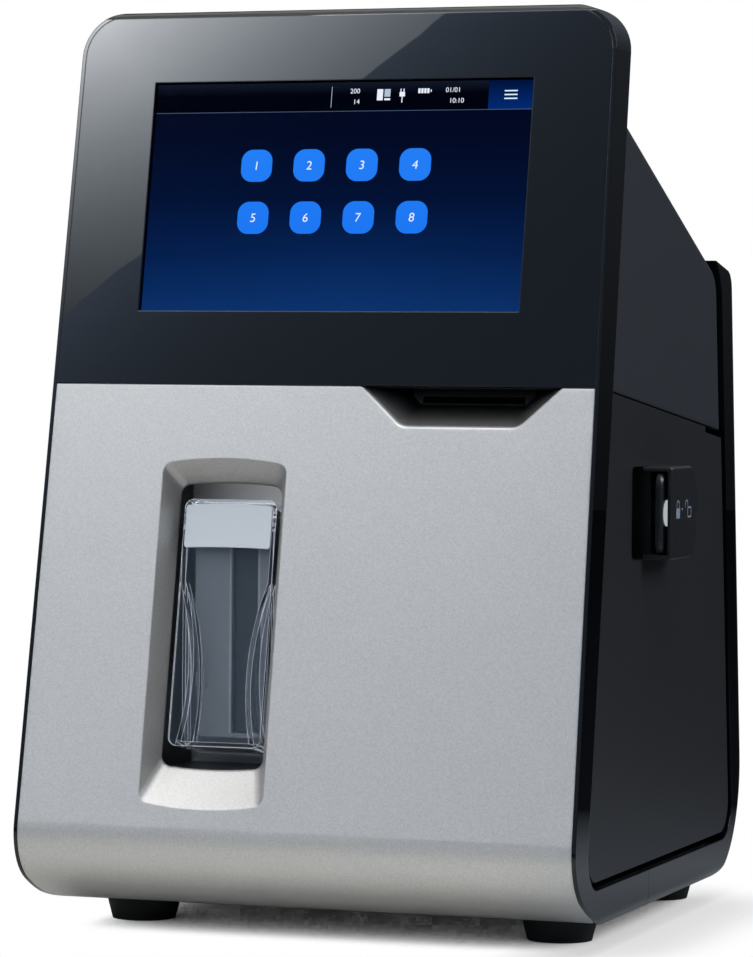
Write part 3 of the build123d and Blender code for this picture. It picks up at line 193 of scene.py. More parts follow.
camera_data = bpy.data.cameras.new("camera")
camera_data.sensor_fit = "AUTO"
camera_data.sensor_width = LONG_SIDE_SENSOR
camera_data.lens = LENS
camera_data.clip_end = 50.0
camera = bpy.data.objects.new("camera", camera_data)
camera.location = CAMERA_PLACE
camera.rotation_euler = Euler([math.radians(turn) for turn in CAMERA_TURN])
bpy.context.scene.collection.objects.link(camera)
bpy.context.scene.camera = camera
bpy.context.scene.view_settings.view_transform = "Standard"


def sheet_mesh(name, points):
    """Mesh from a grid of points (rows, columns, 3): a cell's quad joins its point, the next one in the
    row, and the two under them in the following row.
    """
    rows, columns = points.shape[:2]
    row, column = np.meshgrid(np.arange(rows - 1), np.arange(columns - 1), indexing="ij")
    corner = row * columns + column
    quads = np.stack([corner, corner + 1, corner + columns + 1, corner + columns], axis=-1).reshape(-1, 4)
    mesh = bpy.data.meshes.new(name)
    mesh.from_pydata(points.reshape(-1, 3).tolist(), [], quads.tolist())
    mesh.update()
    return mesh


def piece(name, mesh, material, body=None):
    """Flat-shaded object at the origin with its place in its mesh, riding on a body."""
    made = bpy.data.objects.new(name, mesh)
    bpy.context.scene.collection.objects.link(made)
    mesh.materials.clear()
    mesh.materials.append(material)
    mesh.polygons.foreach_set("use_smooth", [False] * len(mesh.polygons))
    if body:
        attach(made, body)
    return made


# The camera sees a white room. The unit sees a dark one, which is a little lighter towards the ceiling.
LOW_ROOM = (0.012, 0.013, 0.015)
HIGH_ROOM = (0.135, 0.155, 0.185)
ROOM_BASE, ROOM_RISE = 0.05, 3.0      # share of the high colour at the horizon, and how fast it grows

world = bpy.data.worlds.new("room")
world.use_nodes = True
bpy.context.scene.world = world
air = Finish("room", world.node_tree)
backdrop = (air.ray(CAMERA_RAY) + air.ray(THROUGH_RAY)).clipped()
direction = air.node("ShaderNodeSeparateXYZ", None, {0: air.node("ShaderNodeTexCoord", out=0)}, out=2)
room = air.blend((direction * ROOM_RISE + ROOM_BASE).clipped(), LOW_ROOM, HIGH_ROOM)
air.node("ShaderNodeOutputWorld", None, {"Surface": air.node("ShaderNodeBackground", None, {
    "Color": air.blend(backdrop, room, WHITE)})})

# The floor is white to the camera, apart from a painted soft shadow where the unit shuts off the open air
# above it. The unit sees painted light on the floor: pale in front, greyer at its right side and dark
# further away.
FLOOR_HALF = 6.0
FRONT_FLOOR = (0.80, 0.79, 0.745)
SIDE_FLOOR = (0.37, 0.39, 0.41)
FAR_FLOOR = (0.012, 0.012, 0.014)
POOL_START, POOL_END = 0.26, 0.52         # distances from the unit's middle over which the painted pool of light ends
SIDE_START, SIDE_WIDTH = 0.07, 0.06         # the greyer painted light comes in over this width to the right
SIDE_FRONT, SIDE_DEPTH = -0.20, 0.08        # and over this depth to the rear
SHADE_REACH = 0.085                         # how far round the unit the soft shadow lies
FRONT_DARK, FRONT_OPEN, FRONT_CURVE = 0.03, 0.115, 1.3      # openness that is black, its range to white
SIDE_GAIN, SIDE_DARK, SIDE_CURVE = 1.35, 0.06, 1.25         # the same at the right side, as a gain

floor_finish = Finish("floor_white")
floor_seen = floor_finish.ray(CAMERA_RAY)
out_x, out_y = floor_finish.along((1, 0, 0)), floor_finish.along((0, 1, 0))
from_unit = (out_x * out_x + out_y * out_y).power(0.5)
far_share = ((from_unit - POOL_START) / (POOL_END - POOL_START)).clipped()
right_share = (((out_x - SIDE_START) / SIDE_WIDTH).clipped()
               * ((out_y - SIDE_FRONT) / SIDE_DEPTH).clipped())
# painted light on the floor for the unit's rays: pale near it, greyer at its right, dark further away
near_floor = floor_finish.blend(right_share, FRONT_FLOOR, SIDE_FLOOR)
painted_floor_light = floor_finish.blend(floor_seen, floor_finish.blend(far_share, near_floor, FAR_FLOOR), BLACK)
openness = floor_finish.node(
    "ShaderNodeAmbientOcclusion", {"samples": 24}, {"Distance": SHADE_REACH}, out=1)
front_shade = ((openness - FRONT_DARK) / FRONT_OPEN).clipped().power(FRONT_CURVE)
side_shade = (openness * SIDE_GAIN - SIDE_DARK).clipped().power(SIDE_CURVE)
shade = front_shade + right_share * (side_shade - front_shade)
glow = floor_finish.blend(floor_seen * shade, BLACK, WHITE)
floor_finish.surface(floor_finish.principled(
    Base_Color=painted_floor_light, Roughness=1.0, Specular_IOR_Level=0.0, Emission_Color=glow, Emission_Strength=1.0))
side = np.linspace(-FLOOR_HALF, FLOOR_HALF, 2)
floor_x, floor_y = np.meshgrid(side, side, indexing="xy")
floor = piece("floor", sheet_mesh("floor", np.stack([floor_x, floor_y, 0 * floor_x], axis=-1)),
              floor_finish.material)

UNIT_MIDDLE = Vector((0, 0, 0.18))


def soft_lamp(name, place, width, height, radiance, colour):
    """Rectangular lamp that faces the unit, with its upper edge level."""
    data = bpy.data.lights.new(name, "AREA")
    data.shape = "RECTANGLE"
    data.size, data.size_y = width, height
    data.energy = radiance * math.pi * width * height
    data.color = colour
    lamp = bpy.data.objects.new(name, data)
    back = (Vector(place) - UNIT_MIDDLE).normalized()
    right = Vector((0, 0, 1)).cross(back).normalized()
    up = back.cross(right)
    lamp.matrix_world = Matrix.Translation(place) @ Matrix((right, up, back)).transposed().to_4x4()
    bpy.context.scene.collection.objects.link(lamp)


soft_lamp("top_lamp", (-0.1, -0.3, 1.7), 1.5, 1.3, 2.5, WHITE)
soft_lamp("right_lamp", (2.0, 0.3, 1.5), 0.8, 1.2, 7.0, (0.88, 0.96, 1.06))

# The gloss panel mirrors one edge of the front lamp's cloth as a diagonal, from its top edge to its left
# edge. The cloth is placed by two points of that diagonal: x to the right and v up the slope.
FRONT_LEAN = math.radians(10.48)
SLOPE = Vector((0, math.sin(FRONT_LEAN), math.cos(FRONT_LEAN)))
OUTWARD = Vector((0, -math.cos(FRONT_LEAN), math.sin(FRONT_LEAN)))
CARD_DISTANCE = 2.2
DIAGONAL_TOP, DIAGONAL_LEFT = (0.0247, 0.0588), (-0.0940, -0.0353)

glass_low, glass_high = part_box("touch_glass")
screen_middle = (glass_low + glass_high) / 2


def mirrored(x, v):
    """Where a ray from the camera goes on from a point of the panel, at the lamp's distance."""
    point = screen_middle + Vector((x, 0, 0)) + v * SLOPE
    ray = (point - CAMERA_PLACE).normalized()
    return point + (ray - 2 * ray.dot(OUTWARD) * OUTWARD) * CARD_DISTANCE


edge_start = mirrored(*DIAGONAL_TOP)
edge_end = mirrored(*DIAGONAL_LEFT)
edge_middle = (edge_start + edge_end) / 2
edge_run = (edge_end - edge_start).normalized()
card_aim = (UNIT_MIDDLE - edge_middle).normalized()
away = edge_run.cross(card_aim).normalized()
if away.z < 0:
    away = -away
CARD_LENGTH, CARD_ABOVE, CARD_BELOW = 2.6, 1.5, 1.6
EDGE_GLOW = (2.32, 2.68, 3.02)        # lit cloth just above the edge, and its tint GRADED from there
GRADED_GLOW = (2.46, 2.49, 2.58)
GLOW_RISE = 0.100                     # it brightens by a factor e over this length, up to GRADED
GRADED = 0.21
FADE_START, FADE_RATE = 0.03, 3.2     # along the edge it loses this share per metre from there
FADE_END = 0.25
CLOTH_GLOW = (1.90, 1.92, 1.96)       # the rest of the cloth, which the panel doesn't show
WALL_GLOW = (0.20, 0.275, 0.385)      # dim wall below the edge, and what the lamp spills on it
SPILL_GLOW = (0.56, 0.71, 0.97)
SPILL_FALL = 0.075


def card_mesh(name, start, run, rise, length, height):
    """Flat rectangle: a point is the start plus part of the length to a side plus part of the height up."""
    run_part, rise_part = np.meshgrid(
        np.linspace(-length / 2, length / 2, 2), np.linspace(0, height, 2), indexing="xy")
    points = np.array(start) + run_part[..., None] * np.array(run) + rise_part[..., None] * np.array(rise)
    return sheet_mesh(name, points)


card_finish = Finish("lamp_cloth")
from_edge = card_finish.along(away, edge_middle)
glow_tint = card_finish.blend((from_edge / GRADED).clipped(), EDGE_GLOW, GRADED_GLOW)
past_start = (card_finish.along(edge_run, edge_middle) - FADE_START).most(0.0)
fading = (1 - past_start * FADE_RATE).most(FADE_END)
graded = card_finish.scaled(glow_tint, (from_edge / GLOW_RISE).exponent() * fading)
lit_part = card_finish.blend(from_edge > GRADED, graded, CLOTH_GLOW)
spill = card_finish.scaled(SPILL_GLOW, (from_edge / SPILL_FALL).exponent())
dim_part = card_finish.node("ShaderNodeVectorMath", {"operation": "ADD"}, {0: spill, 1: WALL_GLOW})
lit_cloth = card_finish.principled(
    Base_Color=BLACK, Roughness=1.0, Specular_IOR_Level=0.0, Emission_Strength=1.0,
    Emission_Color=card_finish.blend(from_edge > 0.0, dim_part, lit_part))
out_of_shot = card_finish.node("ShaderNodeBsdfTransparent", None, {"Color": WHITE})
card_finish.surface(card_finish.node(
    "ShaderNodeMixShader", None, {0: card_finish.ray(CAMERA_RAY), 1: lit_cloth, 2: out_of_shot}))
card = piece("front_lamp_cloth",
             card_mesh("front_lamp_cloth", edge_middle - CARD_BELOW * away, edge_run, away,
                       CARD_LENGTH, CARD_BELOW + CARD_ABOVE),
             card_finish.material)


# ------------------------------------------------------------------ front frame and display panel
# Two mouldings in piano black: the ring that carries everything at the front, and the panel let into
# its upper half. Both are polished, with the slight waviness that moulded gloss plastic has.
CLEAR_BLACK, HAZY_BLACK = (0.0030, 0.0033, 0.0040), (0.0045, 0.0048, 0.0056)
POLISH, HAZE = 0.004, 0.008           # roughness of the clear black, and what the haze adds to it
WAVES, HAZE_PATCHES = 45.0, 14.0      # in a metre
WAVE_DEPTH = 0.008 * MM
GLOSS_EDGE = 0.5 * MM


def gloss_black():
    """Polished black, a little paler and duller where a slow noise is high, over shallow waves."""
    finish = Finish("piano_black")
    waviness = finish.noise(WAVES, detail=1.0)
    haze = finish.noise(HAZE_PATCHES, detail=3.0)
    rounded = finish.soft_edges(GLOSS_EDGE)
    return finish.surface(finish.principled(
        Base_Color=finish.blend(haze, CLEAR_BLACK, HAZY_BLACK), Roughness=POLISH + haze * HAZE,
        Normal=finish.relief(waviness, WAVE_DEPTH, normal=rounded), IOR=1.46))


def dress(material, *nodes):
    """Gives CAD nodes a finish."""
    for node in nodes:
        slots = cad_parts[node].data.materials
        slots.clear()
        slots.append(material)


piano_black = gloss_black()
dress(piano_black, "front_frame", "display_panel")


# ------------------------------------------------------------------ touch screen
# A seven inch liquid crystal panel behind its touch glass. The picture is a dark to mid blue ground with
# a status bar, a menu key and eight round-cornered tiles; the tiles carry plain numbers.
SCREEN_W, SCREEN_H = 153.6 * MM, 90.0 * MM
BAR_H = 0.127 * SCREEN_H
MENU_W = 0.116 * SCREEN_W
TILE = 12.7 * MM
TILE_PITCH = 21.55 * MM
TILES_X = -1.0 * MM
TILE_ROWS = (0.363, 0.592)            # their middles, as parts of the height from the top of the picture
TILE_COLUMNS = 4
TILE_CORNER, TILE_FEATHER = 4.6 * MM, 0.12 * MM
TILE_UPPER, TILE_LOWER = (0.020, 0.235, 0.950), (0.010, 0.165, 0.860)
GROUND = [                            # colours from the top of the picture to its foot
    (0.0, (0.0008, 0.0022, 0.012)), (0.25, (0.0009, 0.0032, 0.018)), (0.50, (0.0009, 0.0060, 0.034)),
    (0.75, (0.0015, 0.0130, 0.070)), (0.93, (0.0028, 0.0240, 0.115)), (1.0, (0.0035, 0.0300, 0.140))]
GLEAM, GLEAM_SHARE = (0.0050, 0.0450, 0.200), 0.35      # brighter blue low in the picture
GLEAM_PLACE = 0.55                    # it starts this far down, and its middle lies this far across
GLEAM_DOWN, GLEAM_ACROSS = 1.8, 1.6   # how fast it grows downwards and fades sideways
BAR_UPPER, BAR_LOWER, BAR_FADE = (0.0060, 0.0090, 0.020), (0.0003, 0.0010, 0.0042), 2.4
MENU_UPPER, MENU_LOWER = (0.0003, 0.006, 0.040), (0.0006, 0.024, 0.165)
LINE_BLUE, LINE_SHARE = (0.10, 0.16, 0.28), 0.8         # thin line under the status bar
LINE_HALF, LINE_FEATHER = 0.12 * MM, 0.05 * MM
FACE_DEPTH = 1.3 * MM                 # the module's lit face lies less than this behind the glass's middle
RIGHT = Vector((1, 0, 0))


def tile_middles():
    """Places (x, v) of the tiles from the middle of the picture, row by row."""
    return [(TILES_X + (column - (TILE_COLUMNS - 1) / 2) * TILE_PITCH, (0.5 - row) * SCREEN_H)
            for row in TILE_ROWS for column in range(TILE_COLUMNS)]


def rounded_square(x, v, middle_x, middle_v, half, corner, feather):
    """Mask of a rounded square: the distance to its outline, turned into a soft step."""
    out_x = (abs(x - middle_x) - (half - corner)).most(0.0)
    out_v = (abs(v - middle_v) - (half - corner)).most(0.0)
    reach = (out_x * out_x + out_v * out_v).power(0.5)
    return ((corner - reach) / feather + 0.5).clipped()


def lit_picture():
    """Ground that brightens downwards, then the bar, its key and line, then the tiles, each by a mask."""
    finish = Finish("lit_picture")
    x = finish.along(RIGHT, screen_middle)
    v = finish.along(SLOPE, screen_middle)
    down = 0.5 - v / SCREEN_H
    sideways = x / SCREEN_W + 0.5
    plain = finish.node("ShaderNodeValToRGB", {"stops": GROUND}, {0: down})
    gleam = (((down - GLEAM_PLACE) * GLEAM_DOWN).clipped()
             * (1 - abs(sideways - GLEAM_PLACE) * GLEAM_ACROSS).clipped())
    ground = finish.blend(gleam * GLEAM_SHARE, plain, GLEAM)
    in_bar = v > (SCREEN_H / 2 - BAR_H)
    bar_depth = (SCREEN_H / 2 - v) / BAR_H
    bar = finish.blend((bar_depth * BAR_FADE).clipped(), BAR_UPPER, BAR_LOWER)
    picture = finish.blend(in_bar, ground, bar)
    in_menu = in_bar * (x > (SCREEN_W / 2 - MENU_W))
    menu = finish.blend(bar_depth.clipped(), MENU_UPPER, MENU_LOWER)
    picture = finish.blend(in_menu, picture, menu)
    line = ((LINE_HALF - abs(v - (SCREEN_H / 2 - BAR_H))) / LINE_FEATHER).clipped()
    picture = finish.blend(line * LINE_SHARE, picture, LINE_BLUE)
    tiles = None
    for tile_x, tile_v in tile_middles():
        mask = rounded_square(x, v, tile_x, tile_v, TILE / 2, TILE_CORNER, TILE_FEATHER)
        tiles = mask if tiles is None else tiles.most(mask)
    picture = finish.blend(tiles, picture, finish.blend(down, TILE_UPPER, TILE_LOWER))
    on_face = finish.along(OUTWARD, screen_middle) > -FACE_DEPTH
    picture = finish.blend(on_face, BLACK, picture)
    lit = finish.principled(Base_Color=BLACK, Roughness=0.5, Specular_IOR_Level=0.0,
                            Emission_Color=picture, Emission_Strength=1.0)
    return finish.surface(lit)


MIRROR_SHARE = 0.007


def touch_glass_finish():
    """Clear cover glass: what is behind it, plus a thin mirror image."""
    finish = Finish("cover_glass")
    mirror = finish.node("ShaderNodeFresnel", None, {"IOR": 1.4})
    clear = finish.node("ShaderNodeBsdfTransparent", None, {"Color": (0.97, 0.98, 1.0)})
    gloss = finish.node("ShaderNodeBsdfAnisotropic", None, {"Color": WHITE, "Roughness": 0.05})
    return finish.surface(finish.node(
        "ShaderNodeMixShader", None, {0: mirror * MIRROR_SHARE, 1: clear, 2: gloss}))


dress(lit_picture(), "lcd_module")
dress(touch_glass_finish(), "touch_glass")


def glow_finish(name, colour):
    """Black surface that gives off a colour."""
    finish = Finish(name)
    return finish.surface(finish.principled(
        Base_Color=BLACK, Roughness=0.6, Emission_Color=colour, Emission_Strength=1.0))


white_light = glow_finish("white_figures", (0.80, 0.86, 0.95))
pale_light = glow_finish("pale_figures", (0.42, 0.50, 0.62))
GLASS_HALF = 1.1 * MM                     # from the middle of the touch glass to the plane of the front
PICTURE_DEPTH = GLASS_HALF - 0.05 * MM    # and back to just above the lit face
FIGURE_SHARE = 0.7                        # height of a figure over the size of its type
TILE_FIGURE, TILE_SLANT = 3.4 * MM, 0.1
BAR_FIGURE = 1.9 * MM


def on_picture(x, v):
    """Point of the lit picture: x to the right and v up the slope from its middle."""
    return screen_middle + x * RIGHT + v * SLOPE - PICTURE_DEPTH * OUTWARD


def numeral(name, text, height, x, v, slant=0.0):
    """Flat figures with their middle at x, v: each corner of their outline goes x to the right and v up."""
    curve = bpy.data.curves.new(name, "FONT")
    curve.body = text
    curve.size = height / FIGURE_SHARE
    curve.align_x, curve.align_y = "CENTER", "CENTER"
    curve.shear = slant
    temporary = bpy.data.objects.new(name + "_line", curve)
    bpy.context.scene.collection.objects.link(temporary)
    bpy.context.view_layer.update()
    mesh = bpy.data.meshes.new_from_object(temporary)
    bpy.data.objects.remove(temporary)
    flat = np.zeros(len(mesh.vertices) * 3)
    mesh.vertices.foreach_get("co", flat)
    flat = flat.reshape(-1, 3)
    flat[:, 1] -= (flat[:, 1].max() + flat[:, 1].min()) / 2
    flat[:, 0] -= (flat[:, 0].max() + flat[:, 0].min()) / 2
    start = np.array(on_picture(x, v))
    placed = start + flat[:, :1] * np.array(RIGHT) + flat[:, 1:2] * np.array(SLOPE)
    mesh.vertices.foreach_set("co", placed.ravel())
    mesh.update()
    piece(name, mesh, white_light, "chassis")


def bar_strip(name, x0, x1, v0, v1, material):
    """Flat lit rectangle of the picture, from x0 to x1 across and from v0 to v1 up the slope."""
    x, v = np.meshgrid(np.linspace(x0, x1, 2), np.linspace(v0, v1, 2), indexing="xy")
    points = np.array(on_picture(0, 0)) + x[..., None] * np.array(RIGHT) + v[..., None] * np.array(SLOPE)
    piece(name, sheet_mesh(name, points), material, "chassis")


for place, (tile_x, tile_v) in enumerate(tile_middles()):
    numeral(f"tile_number_{place + 1}", str(place + 1), TILE_FIGURE, tile_x, tile_v, slant=TILE_SLANT)

# The signs of the status bar: x from the middle of the picture, v from the middle of the bar.
bar_middle = SCREEN_H / 2 - BAR_H / 2
menu_middle = SCREEN_W / 2 - MENU_W / 2
MENU_LINE_HALF, MENU_LINE_THICK, MENU_LINE_PITCH = 2.6 * MM, 0.5 * MM, 1.5 * MM
for row in (-1, 0, 1):
    line_v = bar_middle + row * MENU_LINE_PITCH
    bar_strip(f"menu_line_{row + 2}", menu_middle - MENU_LINE_HALF, menu_middle + MENU_LINE_HALF,
              line_v - MENU_LINE_THICK / 2, line_v + MENU_LINE_THICK / 2, white_light)
for name, figures, x, v in (
        ("clock_date", "01/01", 44.5, 2.2),
        ("clock_time", "10:10", 46.5, -2.0),
        ("count_upper", "200", 5.0, 2.2),
        ("count_lower", "14", 6.0, -2.0)):
    numeral(name, figures, BAR_FIGURE, x * MM, bar_middle + v * MM)

BATTERY_X, CELL_W, CELL_PITCH = 30.6, 0.9, 1.2
battery_cells = [
    (f"battery_cell_{cell + 1}", BATTERY_X + CELL_PITCH * cell, BATTERY_X + CELL_W + CELL_PITCH * cell,
     1.0, 2.9, white_light) for cell in range(4)]
for name, x0, x1, v0, v1, light in (
        ("bar_divider", -4.6, -4.4, -4.2, 4.0, pale_light),
        *battery_cells,
        ("battery_tip", 35.6, 36.0, 1.5, 2.4, white_light),
        ("card_icon_left", 14.0, 16.4, -1.6, 2.8, white_light),
        ("card_icon_right", 17.0, 19.4, -0.2, 2.8, pale_light),
        ("card_icon_foot", 17.0, 19.4, -1.6, -0.8, white_light),
        ("plug_icon_stem", 24.0, 24.4, -2.6, -0.2, white_light),
        ("plug_icon_head", 23.1, 25.3, -0.2, 1.6, white_light),
        ("plug_icon_pin_1", 23.4, 23.8, 1.6, 2.9, white_light),
        ("plug_icon_pin_2", 24.6, 25.0, 1.6, 2.9, white_light)):
    bar_strip(name, x0 * MM, x1 * MM, bar_middle + v0 * MM, bar_middle + v1 * MM, light)


# ------------------------------------------------------------------ painted front cover
# One moulding from the panel down round the chin, sprayed in a fine metallic silver. The aluminium
# flakes lie flat under the lacquer, so the paint brightens and darkens with the slope.
DARK_FLAKE, PALE_FLAKE = (0.484, 0.474, 0.458), (0.704, 0.690, 0.667)
FLAKES, CLOUDS = 2600.0, 9.0          # in a metre
FLAKE_SHARE, CLOUD_SHARE = 0.5, 0.2   # how much each of them brightens the paint
PAINT_ROUGHNESS, FLAKE_ROUGHNESS = 0.40, 0.10
FLAKE_DEPTH = 0.012 * MM
COVER_EDGE = 0.9 * MM
NOTCH_FOOT = 92.0 * MM                # the paper notch lies less than this below the screen's middle
NOTCH_LEFT, NOTCH_RIGHT = 8.0 * MM, 98.0 * MM         # and its sides lie between these
LIP_START, LIP_END = 0.05 * MM, 0.7 * MM      # depths of the painted highlight along the notch's lip behind the front
LIP_HIGHLIGHT_WHITE = (0.93, 0.94, 0.95)
NOTCH_SHADE_BLACK = (0.004, 0.004, 0.0045)   # painted shade towards the slot, where the panel above shuts out the light, by a quick fade near the front and a slow one behind it
                                      # by a quick fade near the front and a slow one behind it
QUICK_START, QUICK_DEPTH, QUICK_SHARE = 0.6 * MM, 1.0 * MM, 0.72
SLOW_START, SLOW_DEPTH, SLOW_SHARE = 1.5 * MM, 9.0 * MM, 0.27


def silver_paint():
    """Fine flakes over slow clouds. In the notch a painted highlight along the lip comes first, then painted
    shade that fades towards black.
    """
    finish = Finish("silver_paint")
    flakes = finish.cells(FLAKES, out=1)
    flake_grey = finish.node("ShaderNodeSeparateColor", None, {0: flakes})
    cloud = finish.noise(CLOUDS, detail=2.0)
    rounded = finish.soft_edges(COVER_EDGE)
    colour = finish.blend(flake_grey * FLAKE_SHARE + cloud * CLOUD_SHARE, DARK_FLAKE, PALE_FLAKE)
    depth = finish.along(OUTWARD, screen_middle + GLASS_HALF * OUTWARD) * -1.0
    sideways = finish.along(RIGHT, screen_middle)
    in_notch = ((finish.along(SLOPE, screen_middle) > -NOTCH_FOOT)
                * (sideways > NOTCH_LEFT) * (sideways < NOTCH_RIGHT))
    painted_notch_shade = (((depth - QUICK_START) / QUICK_DEPTH).clipped() * QUICK_SHARE
                + ((depth - SLOW_START) / SLOW_DEPTH).clipped() * SLOW_SHARE)
    # painted highlight along the notch's lip, then painted shade towards the slot
    lip_highlight = in_notch * (depth > LIP_START) * (depth < LIP_END)
    colour = finish.blend(lip_highlight, colour, LIP_HIGHLIGHT_WHITE)
    colour = finish.blend(in_notch * painted_notch_shade, colour, NOTCH_SHADE_BLACK)
    return finish.surface(finish.principled(
        Base_Color=colour, Metallic=0.72, Roughness=PAINT_ROUGHNESS + flake_grey * FLAKE_ROUGHNESS,
        Normal=finish.relief(flake_grey, FLAKE_DEPTH, normal=rounded),
        Coat_Weight=0.25, Coat_Roughness=0.25))


dress(silver_paint(), "front_cover")


# ------------------------------------------------------------------ sampler
# A clear moulded handle hangs on a pin in a dark well. Behind its face stands the blue-grey carrier with
# the needle's channel, and a pale plate closes the top of the face.
MOULDED_EDGE = 0.5 * MM
RIPPLES, RIPPLE_DEPTH = 120.0, 0.02 * MM      # in a metre, and how deep
RIM_HIGHLIGHT_GLOW = (0.46, 0.50, 0.57)         # painted highlight, glowing along the clear moulding's edges
RIM_GAIN, RIM_CURVE = 5.0, 1.5


def clear_moulding():
    """Clear plastic with a painted highlight: it glows where its rounded edge turns away from its flat face.
    """
    finish = Finish("clear_moulding")
    ripple = finish.noise(RIPPLES, detail=1.0)
    rounded = finish.soft_edges(MOULDED_EDGE)
    flat = finish.node("ShaderNodeNewGeometry", out=1)
    turned = finish.node("ShaderNodeVectorMath", {"operation": "DOT_PRODUCT"}, {0: rounded, 1: flat}, out=1)
    # painted highlight where the rounded edge turns away from the flat face
    rim = ((1 - turned) * RIM_GAIN).clipped().power(RIM_CURVE)
    solid = finish.principled(
        Base_Color=(0.97, 0.985, 1.0), Roughness=0.03, IOR=1.42, Transmission_Weight=1.0,
        Emission_Color=finish.blend(rim, BLACK, RIM_HIGHLIGHT_GLOW), Emission_Strength=1.0,
        Normal=finish.relief(ripple, RIPPLE_DEPTH))
    clear = finish.node("ShaderNodeBsdfTransparent", None, {"Color": (0.96, 0.98, 1.0)})
    return finish.surface(finish.node(
        "ShaderNodeMixShader", None, {0: finish.ray(SHADOW_RAY), 1: solid, 2: clear}))


SPARK_GRAIN, TONE_PATCHES = 1800.0, 16.0      # in a metre
GRAIN_MIDDLE, GRAIN_ROUGHNESS = 0.5, 0.16


def moulded(name, colour, roughness, grain_per_metre=SPARK_GRAIN, grain_depth=0.01, shade=0.12, edge=0.4):
    """Moulded plastic: a spark grain, a slow change of tone and softened edges. The depth of the grain and
    the radius of the edges are in millimetres.
    """
    finish = Finish(name)
    grain = finish.noise(grain_per_metre, detail=2.0)
    tone = finish.noise(TONE_PATCHES, detail=3.0)
    darker = tuple(part * (1 - shade) for part in colour)
    return finish.surface(finish.principled(
        Base_Color=finish.blend(tone, darker, colour),
        Roughness=roughness + (grain - GRAIN_MIDDLE) * GRAIN_ROUGHNESS,
        Normal=finish.relief(grain, grain_depth * MM, normal=finish.soft_edges(edge * MM))))


arm_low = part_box("sampler_arm")[0]
CARRIER_BLUE, CHANNEL_SHADE, CHANNEL_RIM = (0.150, 0.163, 0.183), (0.024, 0.031, 0.041), (0.28, 0.30, 0.33)
CARRIER_ROUGHNESS, CARRIER_GRAIN_ROUGHNESS = 0.38, 0.1
CARRIER_GRAIN_DEPTH = 0.008 * MM
CHANNEL_X, CHANNEL_W = -34.8 * MM, 10.4 * MM
CHANNEL_FOOT = 1.7 * MM               # it starts this far above the carrier's foot
CHANNEL_MARGIN = 0.1 * MM
RIM_OUT, RIM_HALF = 0.7 * MM, 0.5 * MM        # middle of the pale line outside its edge, and half its width


def carrier_finish():
    """Blue-grey moulding whose channel is shaded, with a pale line along each edge of the channel."""
    finish = Finish("blue_grey_carrier")
    grain = finish.noise(SPARK_GRAIN, detail=2.0)
    from_channel = abs(finish.along(RIGHT) - CHANNEL_X)
    above_foot = finish.along((0, 0, 1), arm_low) > CHANNEL_FOOT
    inside = (from_channel < CHANNEL_W / 2 - CHANNEL_MARGIN) * above_foot
    rim = (1 - abs(from_channel - CHANNEL_W / 2 - RIM_OUT) / RIM_HALF).clipped() * above_foot
    colour = finish.blend(inside, CARRIER_BLUE, CHANNEL_SHADE)
    colour = finish.blend(rim, colour, CHANNEL_RIM)
    return finish.surface(finish.principled(
        Base_Color=colour, Roughness=CARRIER_ROUGHNESS + (grain - GRAIN_MIDDLE) * CARRIER_GRAIN_ROUGHNESS,
        Normal=finish.relief(grain, CARRIER_GRAIN_DEPTH, normal=finish.soft_edges(MOULDED_EDGE))))


well_low, well_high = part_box("sampler_well")
# painted light and shade on one lining: black where shade falls, grey on the back wall where the light falls
SHADED_LINING_BLACK, LIT_BACK_GREY = (0.008, 0.008, 0.009), (0.34, 0.35, 0.36)
BACK_PAINTED_LIGHT = (0.24, 0.245, 0.25)       # painted light on the upper back wall, growing to the right
GLOW_HEIGHT = 20.0 * MM
WELL_BACK_SHOWS = 5.5 * MM            # back wall and half of its rounded corner
WELL_BACK_FADE = 1.5 * MM
WELL_GRAIN_DEPTH = 0.006 * MM


def well_finish():
    """Lining painted in light and shade: black where shade falls, grey on the back wall where light falls,
    with painted light on the upper back wall.
    """
    finish = Finish("well_grey")
    from_back = finish.along((0, -1, 0), well_high)
    grain = finish.noise(SPARK_GRAIN, detail=2.0)
    back = (1 - (from_back - WELL_BACK_SHOWS + WELL_BACK_FADE) / WELL_BACK_FADE).clipped()
    near_top = (finish.along((0, 0, 1), well_high) > -GLOW_HEIGHT) * back
    sideways = (finish.along(RIGHT, well_low) / (well_high - well_low).x).clipped()
    return finish.surface(finish.principled(
        Base_Color=finish.blend(back, SHADED_LINING_BLACK, LIT_BACK_GREY), Roughness=0.35,
        Emission_Color=finish.blend(near_top * sideways, BLACK, BACK_PAINTED_LIGHT), Emission_Strength=1.0,
        Normal=finish.relief(grain, WELL_GRAIN_DEPTH, normal=finish.soft_edges(MOULDED_EDGE))))


dress(clear_moulding(), "sampler_handle")
dress(moulded("pale_cap", (0.76, 0.81, 0.85), roughness=0.32, grain_depth=0.004), "sampler_cap")
dress(carrier_finish(), "sampler_arm")
dress(well_finish(), "sampler_well")
dress(moulded("guide_black", (0.0016, 0.0016, 0.0018), roughness=0.60), "paper_guide")


# ------------------------------------------------------------------ housing, side panel and door
# Textured black mouldings between the front ring and a second, equally polished one at the rear. The door
# covers the cartridge bay and hangs on pins at its rear edge. Its smoother latch block carries a pull and
# three printed signs: a shut padlock, a short dash and an open padlock.
SHELL_GRAIN = 2400.0                  # in a metre
